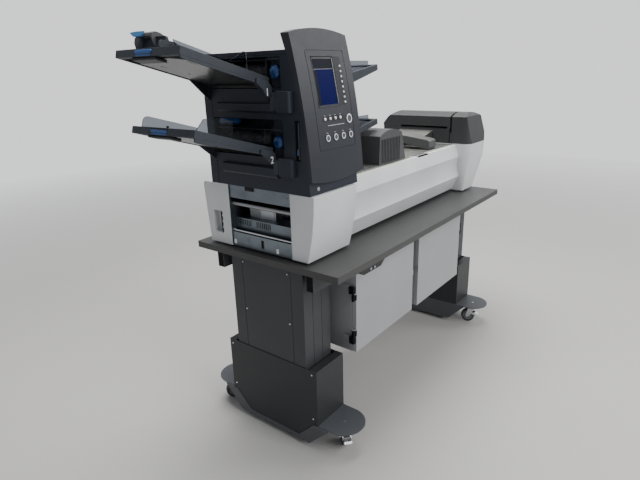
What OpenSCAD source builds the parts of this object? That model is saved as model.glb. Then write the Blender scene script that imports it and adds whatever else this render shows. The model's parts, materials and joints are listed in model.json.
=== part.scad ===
// Folder inserter on a height-adjustable table.
// Millimetres, +Z up. The origin is on the floor under the middle of the table top.
// The control side faces -Y, the sheet feeders are at the -X end and the exit at +X.

/* [Table] */
// Length of the table top
table_l = 1500; // [1450:10:1700]
// Depth of the table top
table_d = 700; // [690:5:780]
// Thickness of the table top
table_t = 25; // [18:1:32]
// Height of the table top with the lift at its lowest
table_h = 770; // [750:5:850]

/* [Lift columns] */
// Distance of a column's outer face from the table end
column_inset = 19; // [10:1:40]
// Width of the lower shroud along the table
shroud_w = 172; // [160:1:200]
// Depth of the lower shroud
shroud_d = 460; // [440:5:500]
// Height of the lower shroud above the sole plate
shroud_h = 236; // [225:1:280]
// Depth of the rising sleeve
sleeve_d = 360; // [320:5:380]
// Thickness of the folded sheet covers
sheet_t = 2.5; // [1.5:0.5:4]
// Height of the sole plate's upper face
foot_h = 120; // [116:1:135]
// Thickness of the sole plate
plate_t = 5; // [4:1:8]
// Overall length of the sole plate
foot_l = 748; // [730:2:800]
// Length of the trough's flat bottom
tub_l = 372; // [340:2:376]
// Height of the trough's bottom above the floor
tub_floor = 23; // [20:1:40]
// Width of the lifting leg's lower tube
post_w = 100; // [80:2:120]
// Depth of the lifting leg's lower tube
post_d = 200; // [120:2:220]
// Height of the lifting leg's lower tube
post_h = 470; // [420:5:520]
// Wall of both lifting tubes
post_t = 4; // [3:0.5:6]

/* [Casters] */
// Diameter of a caster wheel
wheel_d = 75; // [60:1:80]
// Width of a caster wheel
wheel_w = 25; // [20:1:32]
// Diameter of the wheel axle
axle_d = 8; // [6:0.5:10]
// Diameter of the swivel stem
stem_d = 12; // [10:0.5:16]
// Distance of the axle behind the swivel axis
trail = 24; // [16:1:28]

/* [Table frame] */
// Width of a frame rail
rail_w = 33; // [25:1:40]
// Height of a frame rail
rail_h = 62; // [50:1:80]
// Distance of the rails from the table's long edges
rail_inset = 109; // [106:1:120]
// Thickness of the column head plates
head_t = 6; // [4:1:10]

/* [Cabinets] */
// Width of one cabinet
cab_w = 470; // [420:5:500]
// Height of one cabinet
cab_h = 349; // [320:1:400]
// Space between the two cabinets
cab_gap = 50; // [30:2:80]
// Distance of the doors' faces from the table's front edge
door_inset = 100; // [90:1:105]
// Thickness of a folded door
door_t = 18; // [14:1:24]
// Diameter of the hinge pins
hinge_pin_d = 6; // [5:0.5:8]
// Length of a hinge knuckle
knuckle_h = 30; // [24:1:36]

/* [Base module] */
// Distance of the machine's feeder end from the table end
machine_inset = 27; // [20:1:60]
// Length of the base module
base_l = 253; // [240:1:275]
// Height of the base module's top
base_h = 248; // [240:1:260]
// Height of the machine's feet
foot_gap = 8; // [6:1:11]
// Distance of the side frames from the table's front edge
frame_y0 = 217; // [212:1:222]
// Width over the two side frames
frame_w = 306; // [300:1:312]
// Thickness of the side frames
frame_t = 3; // [2:0.5:4]
// Wall of the moulded covers
cover_t = 3; // [2:0.5:4]
// Diameter of the pressure roller behind the end window
fold_roller_d = 16; // [14:1:22]

/* [Feeder tower] */
// Length of the tower
tower_l = 278; // [270:1:290]
// Height of the tower above the base module
tower_h = 459; // [455:1:480]
// Distance of the tower's back from the table's front edge
tower_y1 = 607; // [600:1:640]
// Depth of a feeder mouth
mouth_d = 118; // [100:1:130]
// Diameter of a feed roller
feed_roller_d = 46; // [36:1:52]
// Diameter of a separator knob
knob_d = 44; // [36:1:48]

/* [Control fascia] */
// Width of the fascia
fascia_w = 302; // [296:1:312]
// Rise of the fascia's arched top
fascia_arch = 18; // [8:1:28]
// Droop of the fascia's lower edge
fascia_droop = 15; // [6:1:20]
// Width of the display
display_w = 116; // [100:1:120]
// Height of the display
display_h = 160; // [140:1:166]
// Diameter of the start key
start_key_d = 32; // [26:1:36]
// Diameter of a mode key
mode_key_d = 23; // [18:1:28]
// Number of soft keys beside the display
soft_keys = 8; // [4:1:8]

/* [Trays] */
// Near edge of the trays from the table's front edge
tray_y0 = 277; // [270:1:284]
// Width of a tray
tray_w = 308; // [300:1:320]
// Thickness of a tray floor
tray_t = 4; // [3:0.5:6]
// Depth of a tray's rails below its floor's upper face
tray_skirt = 16; // [14:1:20]
// Height of a tray's rails above its floor
tray_lip = 7; // [4:1:12]
// Thickness of a paper guide
guide_t = 3; // [2:0.5:5]
// Height of the upper trays' guides
guide_h = 56; // [40:1:70]

/* [Transport] */
// Thickness of the deck plate
deck_t = 3; // [2:0.5:5]
// Distance of the hood's left side from the table end
hood_x0 = 621; // [612:1:640]
// Width of the envelope hood at the deck
hood_w = 229; // [200:1:250]
// Height of the envelope hood
hood_h = 142; // [120:1:160]
// Number of ribs on the hood's front
hood_ribs = 13; // [7:1:17]
// Distance of the guide arm's left side from the table end
arm_x0 = 1102; // [1090:1:1130]
// Width of the guide arm
arm_w = 74; // [50:1:90]

/* [Exit module] */
// Distance of the exit module from the table end
exit_x0 = 1340; // [1320:1:1360]
// Length of the exit module at its top
exit_l = 232; // [215:1:250]
// Height of the exit module's white base
exit_base_h = 255; // [252:1:270]
// Height of the dark cover and cap above the white base
exit_cover_h = 158; // [140:1:175]
// Height of the envelope slot
slot_h = 8; // [6:0.5:10]

/* [Clearances] */
// Gap between bodies that move past each other
move_gap = 0.4; // [0.3:0.05:0.6]
// Radial clearance of pins, shafts and keys in their bores
pin_fit = 0.05; // [0.03:0.01:0.1]

/* [Hidden] */
$fn = 64;
big_fn = 720;
eps = 1;

// Columns, in the part frame, at the -X end
col_x0 = -table_l / 2 + column_inset;
col_x1 = col_x0 + shroud_w;
foot_x0 = col_x0 + sheet_t;
foot_w = shroud_w - sheet_t;
foot_xc = foot_x0 + foot_w / 2;
foot_c = foot_l / 2 - foot_w / 2;
tub_top = foot_h - plate_t;
boss_h = 14;
boss_d = 32;
sleeve_rub = 0.6;
sleeve_x0 = foot_x0 + sleeve_rub;
sleeve_lip = 9;
sleeve_x1 = col_x1 - sleeve_lip - 4;
shroud_slot_d = sleeve_d + 30;
head_z = table_h - table_t - head_t;
rail_z0 = table_h - table_t - rail_h;
rail_y = table_d / 2 - rail_inset;
rail_end = 6;
rail_wall = 2.5;
ram_slack = 0.5;
ram_foot = 60;
sleeve_foot = 4;
skirt_step = 19;
lip_out = 2.5;
lip_gap = 0.5;

// Casters
caster_turn = [50, 150, 100, 20];
head_gap = move_gap;
fork_head_z1 = tub_top - boss_h - head_gap;
fork_head_h = 8;
fork_head_d = 48;
fork_plate = 3;
fork_gap = 1;
caster_clear = 9.65;
caster_in = 76.75;
caster_y = max(foot_l / 2 - caster_in,
    tub_l / 2 + fork_head_z1 - tub_floor + fork_head_d / 2 + caster_clear);
bridge_h = 5;

// Cabinets
cab_x0 = -cab_gap / 2 - cab_w;
cab_z1 = rail_z0;
cab_z0 = cab_z1 - cab_h;
door_y0 = -table_d / 2 + door_inset;
cab_y0 = door_y0 + door_t + 1;
cab_y1 = rail_y;
door_edge_gap = 1;
hinge_x = cab_x0 - 8;
hinge_y = door_y0 + 8;
knuckle_r = hinge_pin_d / 2 + 3.5;
hinge_drop = 92;
hinge_lift = 41;

// Lift control under the table's front edge
control_x = [132, 304];
control_taper = 29;
control_h = 21;
control_depth = 70;
control_y0 = 2;
lift_key_d = 11;
lift_key_pitch = 26;
lift_key_len = 6;
lift_key_out = 1.2;

// Machine, in the table frame: x from the table's end, y from its front edge, z from its top
base_x0 = machine_inset;
base_x1 = base_x0 + base_l;
frame_y1 = frame_y0 + frame_w;
frame_mid = frame_y0 + frame_w / 2;
tower_x0 = machine_inset;
tower_x1 = tower_x0 + tower_l;
tower_z0 = base_h;
tower_z1 = base_h + tower_h;
fascia_x0 = machine_inset - 1;
fascia_x1 = fascia_x0 + fascia_w;
fascia_xc = fascia_x0 + fascia_w / 2;
pan_t = 4;
window_x = base_x0 + 6;
plate_in = 3;
shelf_in = 33;
shelf_x = base_x0 + shelf_in;
shelf_z = 114;
shelf_slots = [86, 109.5];
shelf_l = 170;
fold_roller_x = base_x0 + 20;
fold_roller_z = 173;
journal_d = 10;
tie_rod_z = 68;
motor_in = 35;
motor_l = 110;
motor_y = [-21, 111];
motor_h = 38;
motor_end_r = 17;
motor_end_l = 34;
rear_y = [642, 660, 652];
rear_drop = 12;
grip_y = [565, 616];
grip_z = [48, 138];
grip_d = 26;

// Front curve of the base cover and of the fascia, as chords with a bulge
base_front_a = [146, foot_gap];
base_front_b = [111, base_h];
base_front_sag = 8;
face_a = [115, 296];
face_b = [190, 756];
face_sag = 11.3;

// Seam between fascia and tower, seen from the side
seam_line = [[125, 246], [130, 300], [142, 490], [179, 623], [222, 750], [233, 782]];
blank_y = [60, 260];
blank_z = [240, 800];
inset_panel = [207, 322];
inset_left = 94;
inset_mid_z = 548;
inset_groove = [2, 1.6];

// Feeder mouths: lower and upper edge, measured above the base module
mouth_y = [290, 565];
knob_pocket_y = [232, 290];
knob_pocket_d = 22;
left_mouths = [[342, 440], [118, 244]];
right_mouths = [[328, 432], [96, 222]];
knob_y = 261;
knob_lift = 52;
knob_h = 17;
knob_shaft_d = 10;
feed_roller_in = 62;
feed_roller_lift = 57;
feed_journal_d = 12;
feed_journal_l = 10;

// Trays: inner height above the base module, slope and length
tray_y1 = tray_y0 + tray_w;
tray_yc = tray_y0 + tray_w / 2;
tray_rail = 12;
tray_bar = 18;
tray_start = 4;
tray_rise = [369, 144, 345, 110];
tray_slope = [15.1, 16, 9, 10.8];
tray_len = [356, 337, 389, 394];
tray_deep = [0, 0, 30, 0];
gusset_l = [86, 74, 80, 80];
gusset_h = [68, 52, 64, 58];
gusset_t = 6;
guide_slot_x = 150;
guide_slot_w = 10;
guide_x = [[50, 278], [100, 318], [70, 358], [70, 365]];
guide_y = [500, 560, 303, 303];
guide_high = [guide_h, 45, 27, 31];
guide_nose = 60;
guide_reach = [[0, 59], [112, 4], [4, 110], [4, 110]];
front_guide_low = [[18, 290], [18, 319]];
front_guide_top = [
    [[321, 38], [104, 36], [52, 80], [40, 80]],
    [[293, 46], [232, 62], [36, 62]]
];
latch_y = 445;
latch_w = 84;
latch_h = 13;
latch_d = 9;
stop_y = [380, 482];
stop_l = 52;
stop_h = 44;
stop_cheek_t = 4;
stop_cheek = [[-92, 3], [-74, 34], [-52, 54], [-26, 62], [14, 50], [20, 44], [20, 20], [0, 10]];
stop_slot_y = 400;
stop_travel = 95;

// Transport
deck_z = base_h + deck_t;
deck_y = [205, 535];
panel_top = [190, base_h];
panel_upper = [168, 190];
panel_lower = [163, 86];
panel_foot = [198, 13];
panel_scoop = 10;
panel_x = [base_x1 + 0.5, exit_x0 - 0.5];
finger_x = [915, 1020];
finger_y = [panel_top[0] + 2.5, panel_top[0] + 12.5];
finger_d = 14;
hood_y = [223, 420];
hood_taper = 45;
hood_corner = 24;
hood_t = 4;
lug_w = 12;
pin_d = 8;
arm_pin_y = 428;
arm_pin_z = 304;
ramp_x0 = 1200;
ramp_y = [325, 520];
ramp_z = [288, 319];
ramp_t = 3;

// Exit module
exit_x1 = exit_x0 + exit_l;
exit_y = [111, 632];
exit_corner = 40;
cap_y1 = 217;
lid_y = [227, 630];
lid_fall = [64, 28];
lid_fall_h = 30;
ear_in = [26, 76];
ear_step = 14;
bed_z = 334;
exit_z1 = exit_base_h + exit_cover_h;
lid_pin_x = exit_x1 - 22;
lid_pin_z = bed_z - 18;
lid_pin_d = 8;

steel_grey = [0.30, 0.31, 0.32];
column_grey = [0.22, 0.23, 0.24];
top_grey = [0.37, 0.37, 0.36];
door_grey = [0.63, 0.64, 0.64];
zinc = [0.72, 0.73, 0.74];
tyre_black = [0.09, 0.09, 0.09];
plate_steel = [0.45, 0.50, 0.53];
cover_white = [0.80, 0.81, 0.82];
tower_grey = [0.16, 0.17, 0.19];
fascia_grey = [0.26, 0.27, 0.29];
accent_blue = [0.10, 0.34, 0.66];
key_silver = [0.78, 0.80, 0.82];
clear_smoke = [0.55, 0.60, 0.65];
deck_pale = [0.70, 0.69, 0.64];

// Shared shapes

// Block from three [low, high] pairs
module span(x, y, z) {
    translate([x[0], y[0], z[0]])
        cube([x[1] - x[0], y[1] - y[0], z[1] - z[0]]);
}

// Profile drawn in y and z, run along x
module along_x(x) {
    translate([x[0], 0, 0])
        rotate([90, 0, 90])
            linear_extrude(x[1] - x[0]) children();
}

// Profile drawn in x and z, run along y
module along_y(y) {
    translate([0, y[1], 0])
        rotate([90, 0, 0])
            linear_extrude(y[1] - y[0]) children();
}

// Round bar along x
module rod_x(x, y, z, r) {
    translate([x[0], y, z])
        rotate([0, 90, 0])
            cylinder(r = r, h = x[1] - x[0]);
}

// Round bar along y
module rod_y(x, y, z, r) {
    translate([x, y[0], z])
        rotate([-90, 0, 0])
            cylinder(r = r, h = y[1] - y[0]);
}

// Rectangle between two corners with round corners
module soft_rect(a, b, r) {
    translate([a[0] + r, a[1]]) square([b[0] - a[0] - 2 * r, b[1] - a[1]]);
    translate([a[0], a[1] + r]) square([b[0] - a[0], b[1] - a[1] - 2 * r]);
    for (x = [a[0] + r, b[0] - r], y = [a[1] + r, b[1] - r])
        translate([x, y]) circle(r = r);
}

// Rectangular ring about the origin
module tube_outline(w, d, t) {
    difference() {
        square([w, d], center = true);
        square([w - 2 * t, d - 2 * t], center = true);
    }
}

function bulge_r(a, b, sag) = (norm(b - a) * norm(b - a) / 4 + sag * sag) / (2 * sag);
function bulge_n(a, b) = [a[1] - b[1], b[0] - a[0]] / norm(b - a);
function bulge_c(a, b, sag) = (a + b) / 2 - bulge_n(a, b) * (bulge_r(a, b, sag) - sag);

// Disc whose rim runs through a and b and swells to the left of a to b
module bulge(a, b, sag, inset = 0) {
    translate(bulge_c(a, b, sag))
        circle(r = bulge_r(a, b, sag) - inset, $fn = big_fn);
}

module both_ends() {
    children();
    mirror([1, 0, 0]) children();
}

module on_table() {
    translate([-table_l / 2, -table_d / 2, table_h]) children();
}

// Lift columns

module tub_outline(inset) {
    low = tub_floor + inset;
    high = inset > 0 ? tub_top : tub_top + plate_t / 2;
    side = tub_l / 2 - inset * sqrt(2);
    polygon([
        [-side - high + tub_floor, high], [side + high - tub_floor, high],
        [side + low - tub_floor, low], [-side - low + tub_floor, low]
    ]);
}

module sole_outline() {
    square([foot_w, 2 * foot_c], center = true);
    for (s = [-1, 1]) translate([0, s * foot_c]) circle(d = foot_w);
}

// Lower end of the shroud's end panel, with its corners cut off
module skirt_outline(grow) {
    reach = shroud_d / 2 - skirt_step + grow * sqrt(2);
    low = tub_floor + skirt_step - grow;
    high = foot_h + 2 * grow + eps;
    polygon([
        [-reach - high + foot_h, high], [reach + high - foot_h, high],
        [reach + low - foot_h, low], [-reach - low + foot_h, low]
    ]);
}

module foot_weldment() {
    cable_hole = [post_w / 2, post_d / 2];
    difference() {
        union() {
            translate([foot_xc, 0, tub_top]) linear_extrude(plate_t) sole_outline();
            difference() {
                along_x([foot_x0, foot_x0 + foot_w]) tub_outline(0);
                along_x([foot_x0 + sheet_t, foot_x0 + foot_w - sheet_t]) tub_outline(sheet_t);
            }
            // Raised rim that frames the end panel
            along_x([col_x0 - lip_out, foot_x0 + sheet_t / 2])
                difference() {
                    tub_outline(0);
                    skirt_outline(lip_gap);
                }
            translate([foot_xc, 0, foot_h - eps])
                linear_extrude(post_h + eps) tube_outline(post_w, post_d, post_t);
            for (s = [-1, 1])
                translate([foot_xc, s * caster_y, tub_top - boss_h])
                    cylinder(d = boss_d, h = boss_h + plate_t / 2);
        }
        translate([foot_xc, 0, tub_top - eps])
            linear_extrude(plate_t + 2 * eps) square(cable_hole, center = true);
        for (s = [-1, 1])
            translate([foot_xc, s * caster_y, tub_top - boss_h - eps])
                cylinder(d = stem_d + 2 * pin_fit, h = boss_h + plate_t + 2 * eps);
    }
}

module foot_left() { color(column_grey) foot_weldment(); }
module foot_right() { color(column_grey) mirror([1, 0, 0]) foot_weldment(); }

module shroud() {
    half = shroud_d / 2;
    z1 = foot_h + shroud_h;
    difference() {
        span([col_x0, col_x1], [-half, half], [foot_h, z1]);
        span([col_x0 + sheet_t, col_x1 - sheet_t], [-half + sheet_t, half - sheet_t],
            [foot_h - eps, z1 - sheet_t]);
        span([col_x0 + sheet_t, col_x1 - sleeve_lip],
            [-shroud_slot_d / 2, shroud_slot_d / 2], [z1 - 2 * sheet_t, z1 + eps]);
    }
    // End panel, carried down over the trough with its lower corners cut off
    along_x([col_x0, col_x0 + sheet_t])
        intersection() {
            translate([-half, 0]) square([shroud_d, foot_h + eps]);
            union() {
                skirt_outline(0);
                translate([-half, foot_h]) square([shroud_d, eps]);
            }
        }
}

module shrouds() { color(column_grey) both_ends() shroud(); }

module sleeve() {
    half = sleeve_d / 2;
    z = [foot_h + sleeve_foot, head_z];
    seam_w = 2;
    seam_d = 1;
    strip = (sleeve_x1 - sleeve_x0) / 3;
    difference() {
        span([sleeve_x0, sleeve_x1], [-half, half], z);
        span([sleeve_x0 + sheet_t, sleeve_x1 - sheet_t], [-half + sheet_t, half - sheet_t],
            [z[0] - eps, z[1] + eps]);
        // Seams of the screwed end panel
        for (s = [-1, 1])
            translate([sleeve_x0 - eps, s * sleeve_d * 0.34 - seam_w / 2, z[0] - eps])
                cube([seam_d + eps, seam_w, z[1] - z[0] + 2 * eps]);
        // Grooves of the ribbed front and back strips
        for (i = [1, 2], s = [-1, 1])
            translate([sleeve_x0 + i * strip - seam_w / 2, s * half - seam_d, z[0] - eps])
                cube([seam_w, 2 * seam_d, z[1] - z[0] + 2 * eps]);
    }
}

module sleeves() { color(column_grey) both_ends() sleeve(); }

// Table and its frame

module table_top() {
    edge_r = 4;
    color(top_grey)
        translate([0, 0, table_h - table_t])
            linear_extrude(table_t)
                soft_rect([-table_l / 2, -table_d / 2], [table_l / 2, table_d / 2], edge_r);
}

module column_head() {
    inner = rail_y - rail_w;
    span([sleeve_x0, sleeve_x1], [-inner - rail_wall / 2, inner + rail_wall / 2],
        [head_z, head_z + head_t]);
    // Upper tube of the lifting leg, sliding in the lower one
    ram_z0 = foot_h + ram_foot;
    shrink = 2 * post_t + 2 * ram_slack;
    translate([foot_xc, 0, ram_z0])
        linear_extrude(head_z - ram_z0 + eps)
            tube_outline(post_w - shrink, post_d - shrink, post_t);
}

module table_frame() {
    x = [-table_l / 2 + rail_end, table_l / 2 - rail_end];
    color(steel_grey) {
        for (s = [-1, 1])
            translate([0, s * (rail_y - rail_w / 2), rail_z0 + rail_h / 2])
                rotate([90, 0, 90])
                    translate([0, 0, x[0]])
                        linear_extrude(x[1] - x[0]) tube_outline(rail_w, rail_h, rail_wall);
        both_ends() column_head();
    }
}

// Cabinets and doors, drawn for the -X side

module hinge_half(z, pin_z) {
    wing = 46;
    translate([hinge_x, hinge_y, z]) cylinder(r = knuckle_r, h = knuckle_h);
    translate([hinge_x, hinge_y, pin_z]) cylinder(d = hinge_pin_d, h = knuckle_h);
    span([hinge_x, cab_x0], [hinge_y, hinge_y + wing], [z, z + knuckle_h]);
    span([cab_x0 - eps, cab_x0 + sheet_t / 2], [cab_y0 + eps, hinge_y + wing], [z, z + knuckle_h]);
}

module cabinet() {
    upper_z = cab_z1 - hinge_drop;
    lower_z = cab_z0 + hinge_lift;
    difference() {
        span([cab_x0, cab_x0 + cab_w], [cab_y0, cab_y1], [cab_z0, cab_z1]);
        span([cab_x0 + sheet_t, cab_x0 + cab_w - sheet_t], [cab_y0 - eps, cab_y1 - sheet_t],
            [cab_z0 + sheet_t, cab_z1 - sheet_t]);
    }
    hinge_half(upper_z, upper_z - knuckle_h * 0.8);
    hinge_half(lower_z, lower_z + knuckle_h * 0.8);
}

module cabinet_left() { color(door_grey) cabinet(); }
module cabinet_right() { color(door_grey) mirror([1, 0, 0]) cabinet(); }

module door_knuckle(z) {
    translate([hinge_x, hinge_y, z]) cylinder(r = knuckle_r, h = knuckle_h);
    span([hinge_x, cab_x0 + door_edge_gap + sheet_t / 2],
        [hinge_y - knuckle_r, hinge_y - knuckle_r / 2], [z, z + knuckle_h]);
}

module door() {
    x = [cab_x0 + door_edge_gap, cab_x0 + cab_w - door_edge_gap];
    z = [cab_z0, cab_z1 - 1.5];
    upper_z = cab_z1 - hinge_drop - knuckle_h - move_gap;
    lower_z = cab_z0 + hinge_lift + knuckle_h + move_gap;
    difference() {
        union() {
            difference() {
                span(x, [door_y0, door_y0 + door_t], z);
                span([x[0] + sheet_t, x[1] - sheet_t], [door_y0 + sheet_t, door_y0 + door_t + eps],
                    [z[0] + sheet_t, z[1] - sheet_t]);
            }
            door_knuckle(upper_z);
            door_knuckle(lower_z);
        }
        for (k = [upper_z, lower_z])
            translate([hinge_x, hinge_y, k - eps])
                cylinder(d = hinge_pin_d + 2 * pin_fit, h = knuckle_h + 2 * eps);
    }
}

module door_left() { color(door_grey) door(); }
module door_right() { color(door_grey) mirror([1, 0, 0]) door(); }

// Lift control

function lift_key_x(i) = (control_x[0] + control_x[1]) / 2 + (i - 0.5) * lift_key_pitch;
lift_key_z = -table_t - control_h * 0.55;

module lift_control() {
    z = [-table_t - control_h, -table_t];
    color(tower_grey)
        on_table()
            difference() {
                along_y([control_y0, control_y0 + control_depth])
                    polygon([
                        [control_x[0], z[1]], [control_x[1], z[1]],
                        [control_x[1] - control_taper, z[0]], [control_x[0] + control_taper, z[0]]
                    ]);
                for (i = [0, 1])
                    rod_y(lift_key_x(i), [control_y0 - eps, control_y0 + lift_key_len + 3],
                        lift_key_z, lift_key_d / 2 + pin_fit);
            }
}

module lift_key(i) {
    color(key_silver)
        on_table()
            rod_y(lift_key_x(i), [control_y0 - lift_key_out, control_y0 + lift_key_len],
                lift_key_z, lift_key_d / 2);
}

module lift_up_key() { lift_key(1); }
module lift_down_key() { lift_key(0); }

// Casters, numbered front left, back left, front right, back right

module at_caster(i) {
    side = i < 2 ? 1 : -1;
    end = i % 2 == 0 ? -1 : 1;
    translate([side * foot_xc, end * caster_y, 0])
        rotate([0, 0, caster_turn[i]]) children();
}

module fork_cheek() {
    eye_r = axle_d / 2 + 6;
    z0 = fork_head_z1 - fork_head_h;
    hull() {
        translate([trail, wheel_d / 2]) circle(r = eye_r, $fn = 32);
        translate([-fork_head_d / 3, z0 - bridge_h]) square([fork_head_d * 0.7, bridge_h]);
    }
}

module caster_fork(i) {
    z0 = fork_head_z1 - fork_head_h;
    inner = wheel_w / 2 + fork_gap;
    outer = inner + fork_plate;
    color(zinc)
        at_caster(i) {
            translate([0, 0, z0]) cylinder(d = fork_head_d, h = fork_head_h);
            translate([0, 0, z0]) cylinder(d = stem_d, h = foot_h - z0 - 1);
            span([-fork_head_d / 3, fork_head_d * 0.7 - fork_head_d / 3], [-outer, outer],
                [z0 - bridge_h, z0 + eps]);
            for (s = [-1, 1])
                along_y(s > 0 ? [inner, outer] : [-outer, -inner]) fork_cheek();
            rod_y(trail, [-outer, outer], wheel_d / 2, axle_d / 2);
        }
}

module caster_wheel(i) {
    r = wheel_d / 2;
    half = wheel_w / 2;
    round_r = 6;
    hub_r = r * 0.72;
    dish = 3;
    color(tyre_black)
        at_caster(i)
            translate([trail, 0, r])
                rotate([90, 0, 0])
                    rotate_extrude()
                        difference() {
                            intersection() {
                                soft_rect([-r, -half], [r, half], round_r);
                                translate([axle_d / 2 + pin_fit, -half]) square([r, wheel_w]);
                            }
                            for (s = [-1, 1])
                                translate([axle_d / 2 + 5, s > 0 ? half - dish : -half - eps])
                                    square([hub_r - axle_d / 2 - 5, dish + eps]);
                        }
}

// Base module

module chassis_window() {
    y = [frame_y0 + frame_t / 2, frame_y1 - frame_t / 2];
    // Upper plate
    span([window_x, window_x + plate_in], y, [198, base_h - eps]);
    // Lower panel with its slot
    difference() {
        span([window_x, window_x + plate_in], y, [foot_gap + eps, 63]);
        span([window_x - eps, window_x + 2 * plate_in],
            [frame_mid - 12, frame_mid + 2], [20, 52]);
    }
    // Slotted plate, folded back into a shelf
    slot_w = 4.5;
    slot_pitch = 9.5;
    slot_count = 8;
    first_slot_y = frame_mid - 24;
    group_pitch = 99;
    difference() {
        span([shelf_x, shelf_x + plate_in], y, [tie_rod_z - 2, shelf_z]);
        for (group = [0, 1], i = [0:slot_count - 1])
            span([shelf_x - eps, shelf_x + 2 * plate_in],
                [0, slot_w] + [1, 1] * (first_slot_y + group * group_pitch + i * slot_pitch),
                shelf_slots);
    }
    span([shelf_x, shelf_x + shelf_l], y, [shelf_z - plate_in, shelf_z]);
    // Tie rod
    rod_y(base_x0 + 14, y, tie_rod_z, 3.5);
}

module base_chassis() {
    x = [window_x, exit_x0 - 1];
    stud_r = 18;
    stud_in = 30;
    color(plate_steel)
        on_table()
            difference() {
                union() {
                    span(x, [frame_y0, frame_y1], [foot_gap, foot_gap + pan_t]);
                    for (y = [frame_y0, frame_y1 - frame_t])
                        span(x, [y, y + frame_t], [foot_gap, base_h]);
                    span([window_x, tower_x1 - 2], [frame_y0, frame_y1], [base_h - plate_in, base_h]);
                    chassis_window();
                    for (fx = [0.06, 0.5, 0.95], y = [frame_y0 + stud_in, frame_y1 - stud_in])
                        translate([x[0] + fx * (x[1] - x[0]), y, 0]) cylinder(r = stud_r, h = foot_gap + eps);
                }
                rod_y(fold_roller_x, [frame_y0 - eps, frame_y1 + eps], fold_roller_z,
                    journal_d / 2 + pin_fit);
            }
}

module fold_roller() {
    y = [frame_y0 + frame_t + 2, frame_y1 - frame_t - 2];
    color(cover_white)
        on_table() {
            rod_y(fold_roller_x, y, fold_roller_z, fold_roller_d / 2);
            rod_y(fold_roller_x, [frame_y0, frame_y1], fold_roller_z, journal_d / 2);
        }
}

module drive_motor() {
    x = [shelf_x + motor_in, shelf_x + motor_in + motor_l];
    y = [1, 1] * frame_mid + motor_y;
    color(zinc)
        on_table() {
            span(x, y, [shelf_z, shelf_z + motor_h]);
            rod_y((x[0] + x[1]) / 2, [y[0] - motor_end_l, y[0] + eps], shelf_z + motor_h / 2, motor_end_r);
        }
}

module base_front_profile(inset) {
    intersection() {
        translate([base_front_b[0] - 20, foot_gap + inset])
            square([frame_y0 - base_front_b[0] + 20 + (inset > 0 ? eps : 0),
                base_h - foot_gap - 2 * inset]);
        bulge(base_front_a, base_front_b, base_front_sag, inset);
    }
}

module base_front_cover() {
    color(cover_white)
        on_table()
            difference() {
                along_x([base_x0, base_x1]) base_front_profile(0);
                along_x([base_x0 + cover_t, base_x1 - cover_t]) base_front_profile(cover_t);
            }
}

module base_rear_profile(inset) {
    polygon([
        [frame_y1 - (inset > 0 ? eps : 0), foot_gap + inset], [rear_y[0] - inset, foot_gap + inset],
        [rear_y[1] - inset, base_h - rear_drop], [rear_y[2] - inset, base_h - inset],
        [frame_y1 - (inset > 0 ? eps : 0), base_h - inset]
    ]);
}

module base_rear_cover() {
    color(cover_white)
        on_table()
            difference() {
                union() {
                    difference() {
                        along_x([base_x0, base_x1]) base_rear_profile(0);
                        along_x([base_x0 + cover_t, base_x1 - cover_t]) base_rear_profile(cover_t);
                    }
                    span([base_x0 + eps, base_x0 + grip_d + cover_t], grip_y + [-cover_t, cover_t],
                        grip_z + [-cover_t, cover_t]);
                }
                // Scooped hand grip in the end face
                along_x([base_x0 - eps, base_x0 + grip_d])
                    soft_rect([grip_y[0], grip_z[0]], [grip_y[1], grip_z[1]], 8);
            }
}

// Transport section

module panel_profile(inset) {
    back = frame_y0 + (inset > 0 ? eps : 0);
    chord = panel_lower - panel_upper;
    reach = norm(chord) / 2;
    scoop_r = (reach * reach + panel_scoop * panel_scoop) / (2 * panel_scoop);
    outwards = [chord[1], -chord[0]] / norm(chord);
    difference() {
        polygon([
            [back, panel_top[1] - inset], [panel_top[0] + inset, panel_top[1] - inset],
            [panel_upper[0] + inset, panel_upper[1]], [panel_lower[0] + inset, panel_lower[1]],
            [panel_foot[0] + inset, panel_foot[1] + inset], [back, panel_foot[1] + inset]
        ]);
        // Hollow of the face between its two creases
        translate((panel_upper + panel_lower) / 2 + outwards * (scoop_r - panel_scoop))
            circle(r = scoop_r + inset);
    }
}

module long_panel() {
    difference() {
        along_x(panel_x) panel_profile(0);
        along_x(panel_x + [cover_t, -cover_t]) panel_profile(cover_t);
    }
}

module front_panel() {
    liner = 2;
    color(cover_white)
        on_table()
            difference() {
                union() {
                    long_panel();
                    intersection() {
                        along_x(finger_x + [-liner, liner]) panel_profile(0);
                        span(finger_x + [-liner, liner], finger_y + [-liner, liner],
                            [base_h - finger_d - liner, base_h]);
                    }
                }
                // Finger recess in the top edge
                span(finger_x, finger_y, [base_h - finger_d, base_h + eps]);
            }
}

module rear_panel() {
    inlet_x = [base_x1 + 90, base_x1 + 140];
    inlet_z = [60, 90];
    inlet_d = 20;
    color(cover_white)
        on_table()
            translate([0, 2 * frame_mid, 0])
                mirror([0, 1, 0])
                    difference() {
                        union() {
                            long_panel();
                            intersection() {
                                along_x(inlet_x + [-cover_t, cover_t]) panel_profile(0);
                                span(inlet_x + [-cover_t, cover_t],
                                    [panel_lower[0] - 20, panel_lower[0] + inlet_d + 10],
                                    inlet_z + [-cover_t, cover_t]);
                            }
                        }
                        // Socket of the mains inlet
                        span(inlet_x, [panel_lower[0] - 20, panel_lower[0] + inlet_d + 4], inlet_z);
                    }
}

module lug(x, y, z) {
    along_x([x - lug_w / 2, x + lug_w / 2])
        union() {
            translate([y, z]) circle(r = pin_d);
            translate([y - pin_d, deck_z - eps]) square([2 * pin_d, z - deck_z + eps]);
        }
}

function hood_x1() = hood_x0 + hood_w;
function arm_x1() = arm_x0 + arm_w;

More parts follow.
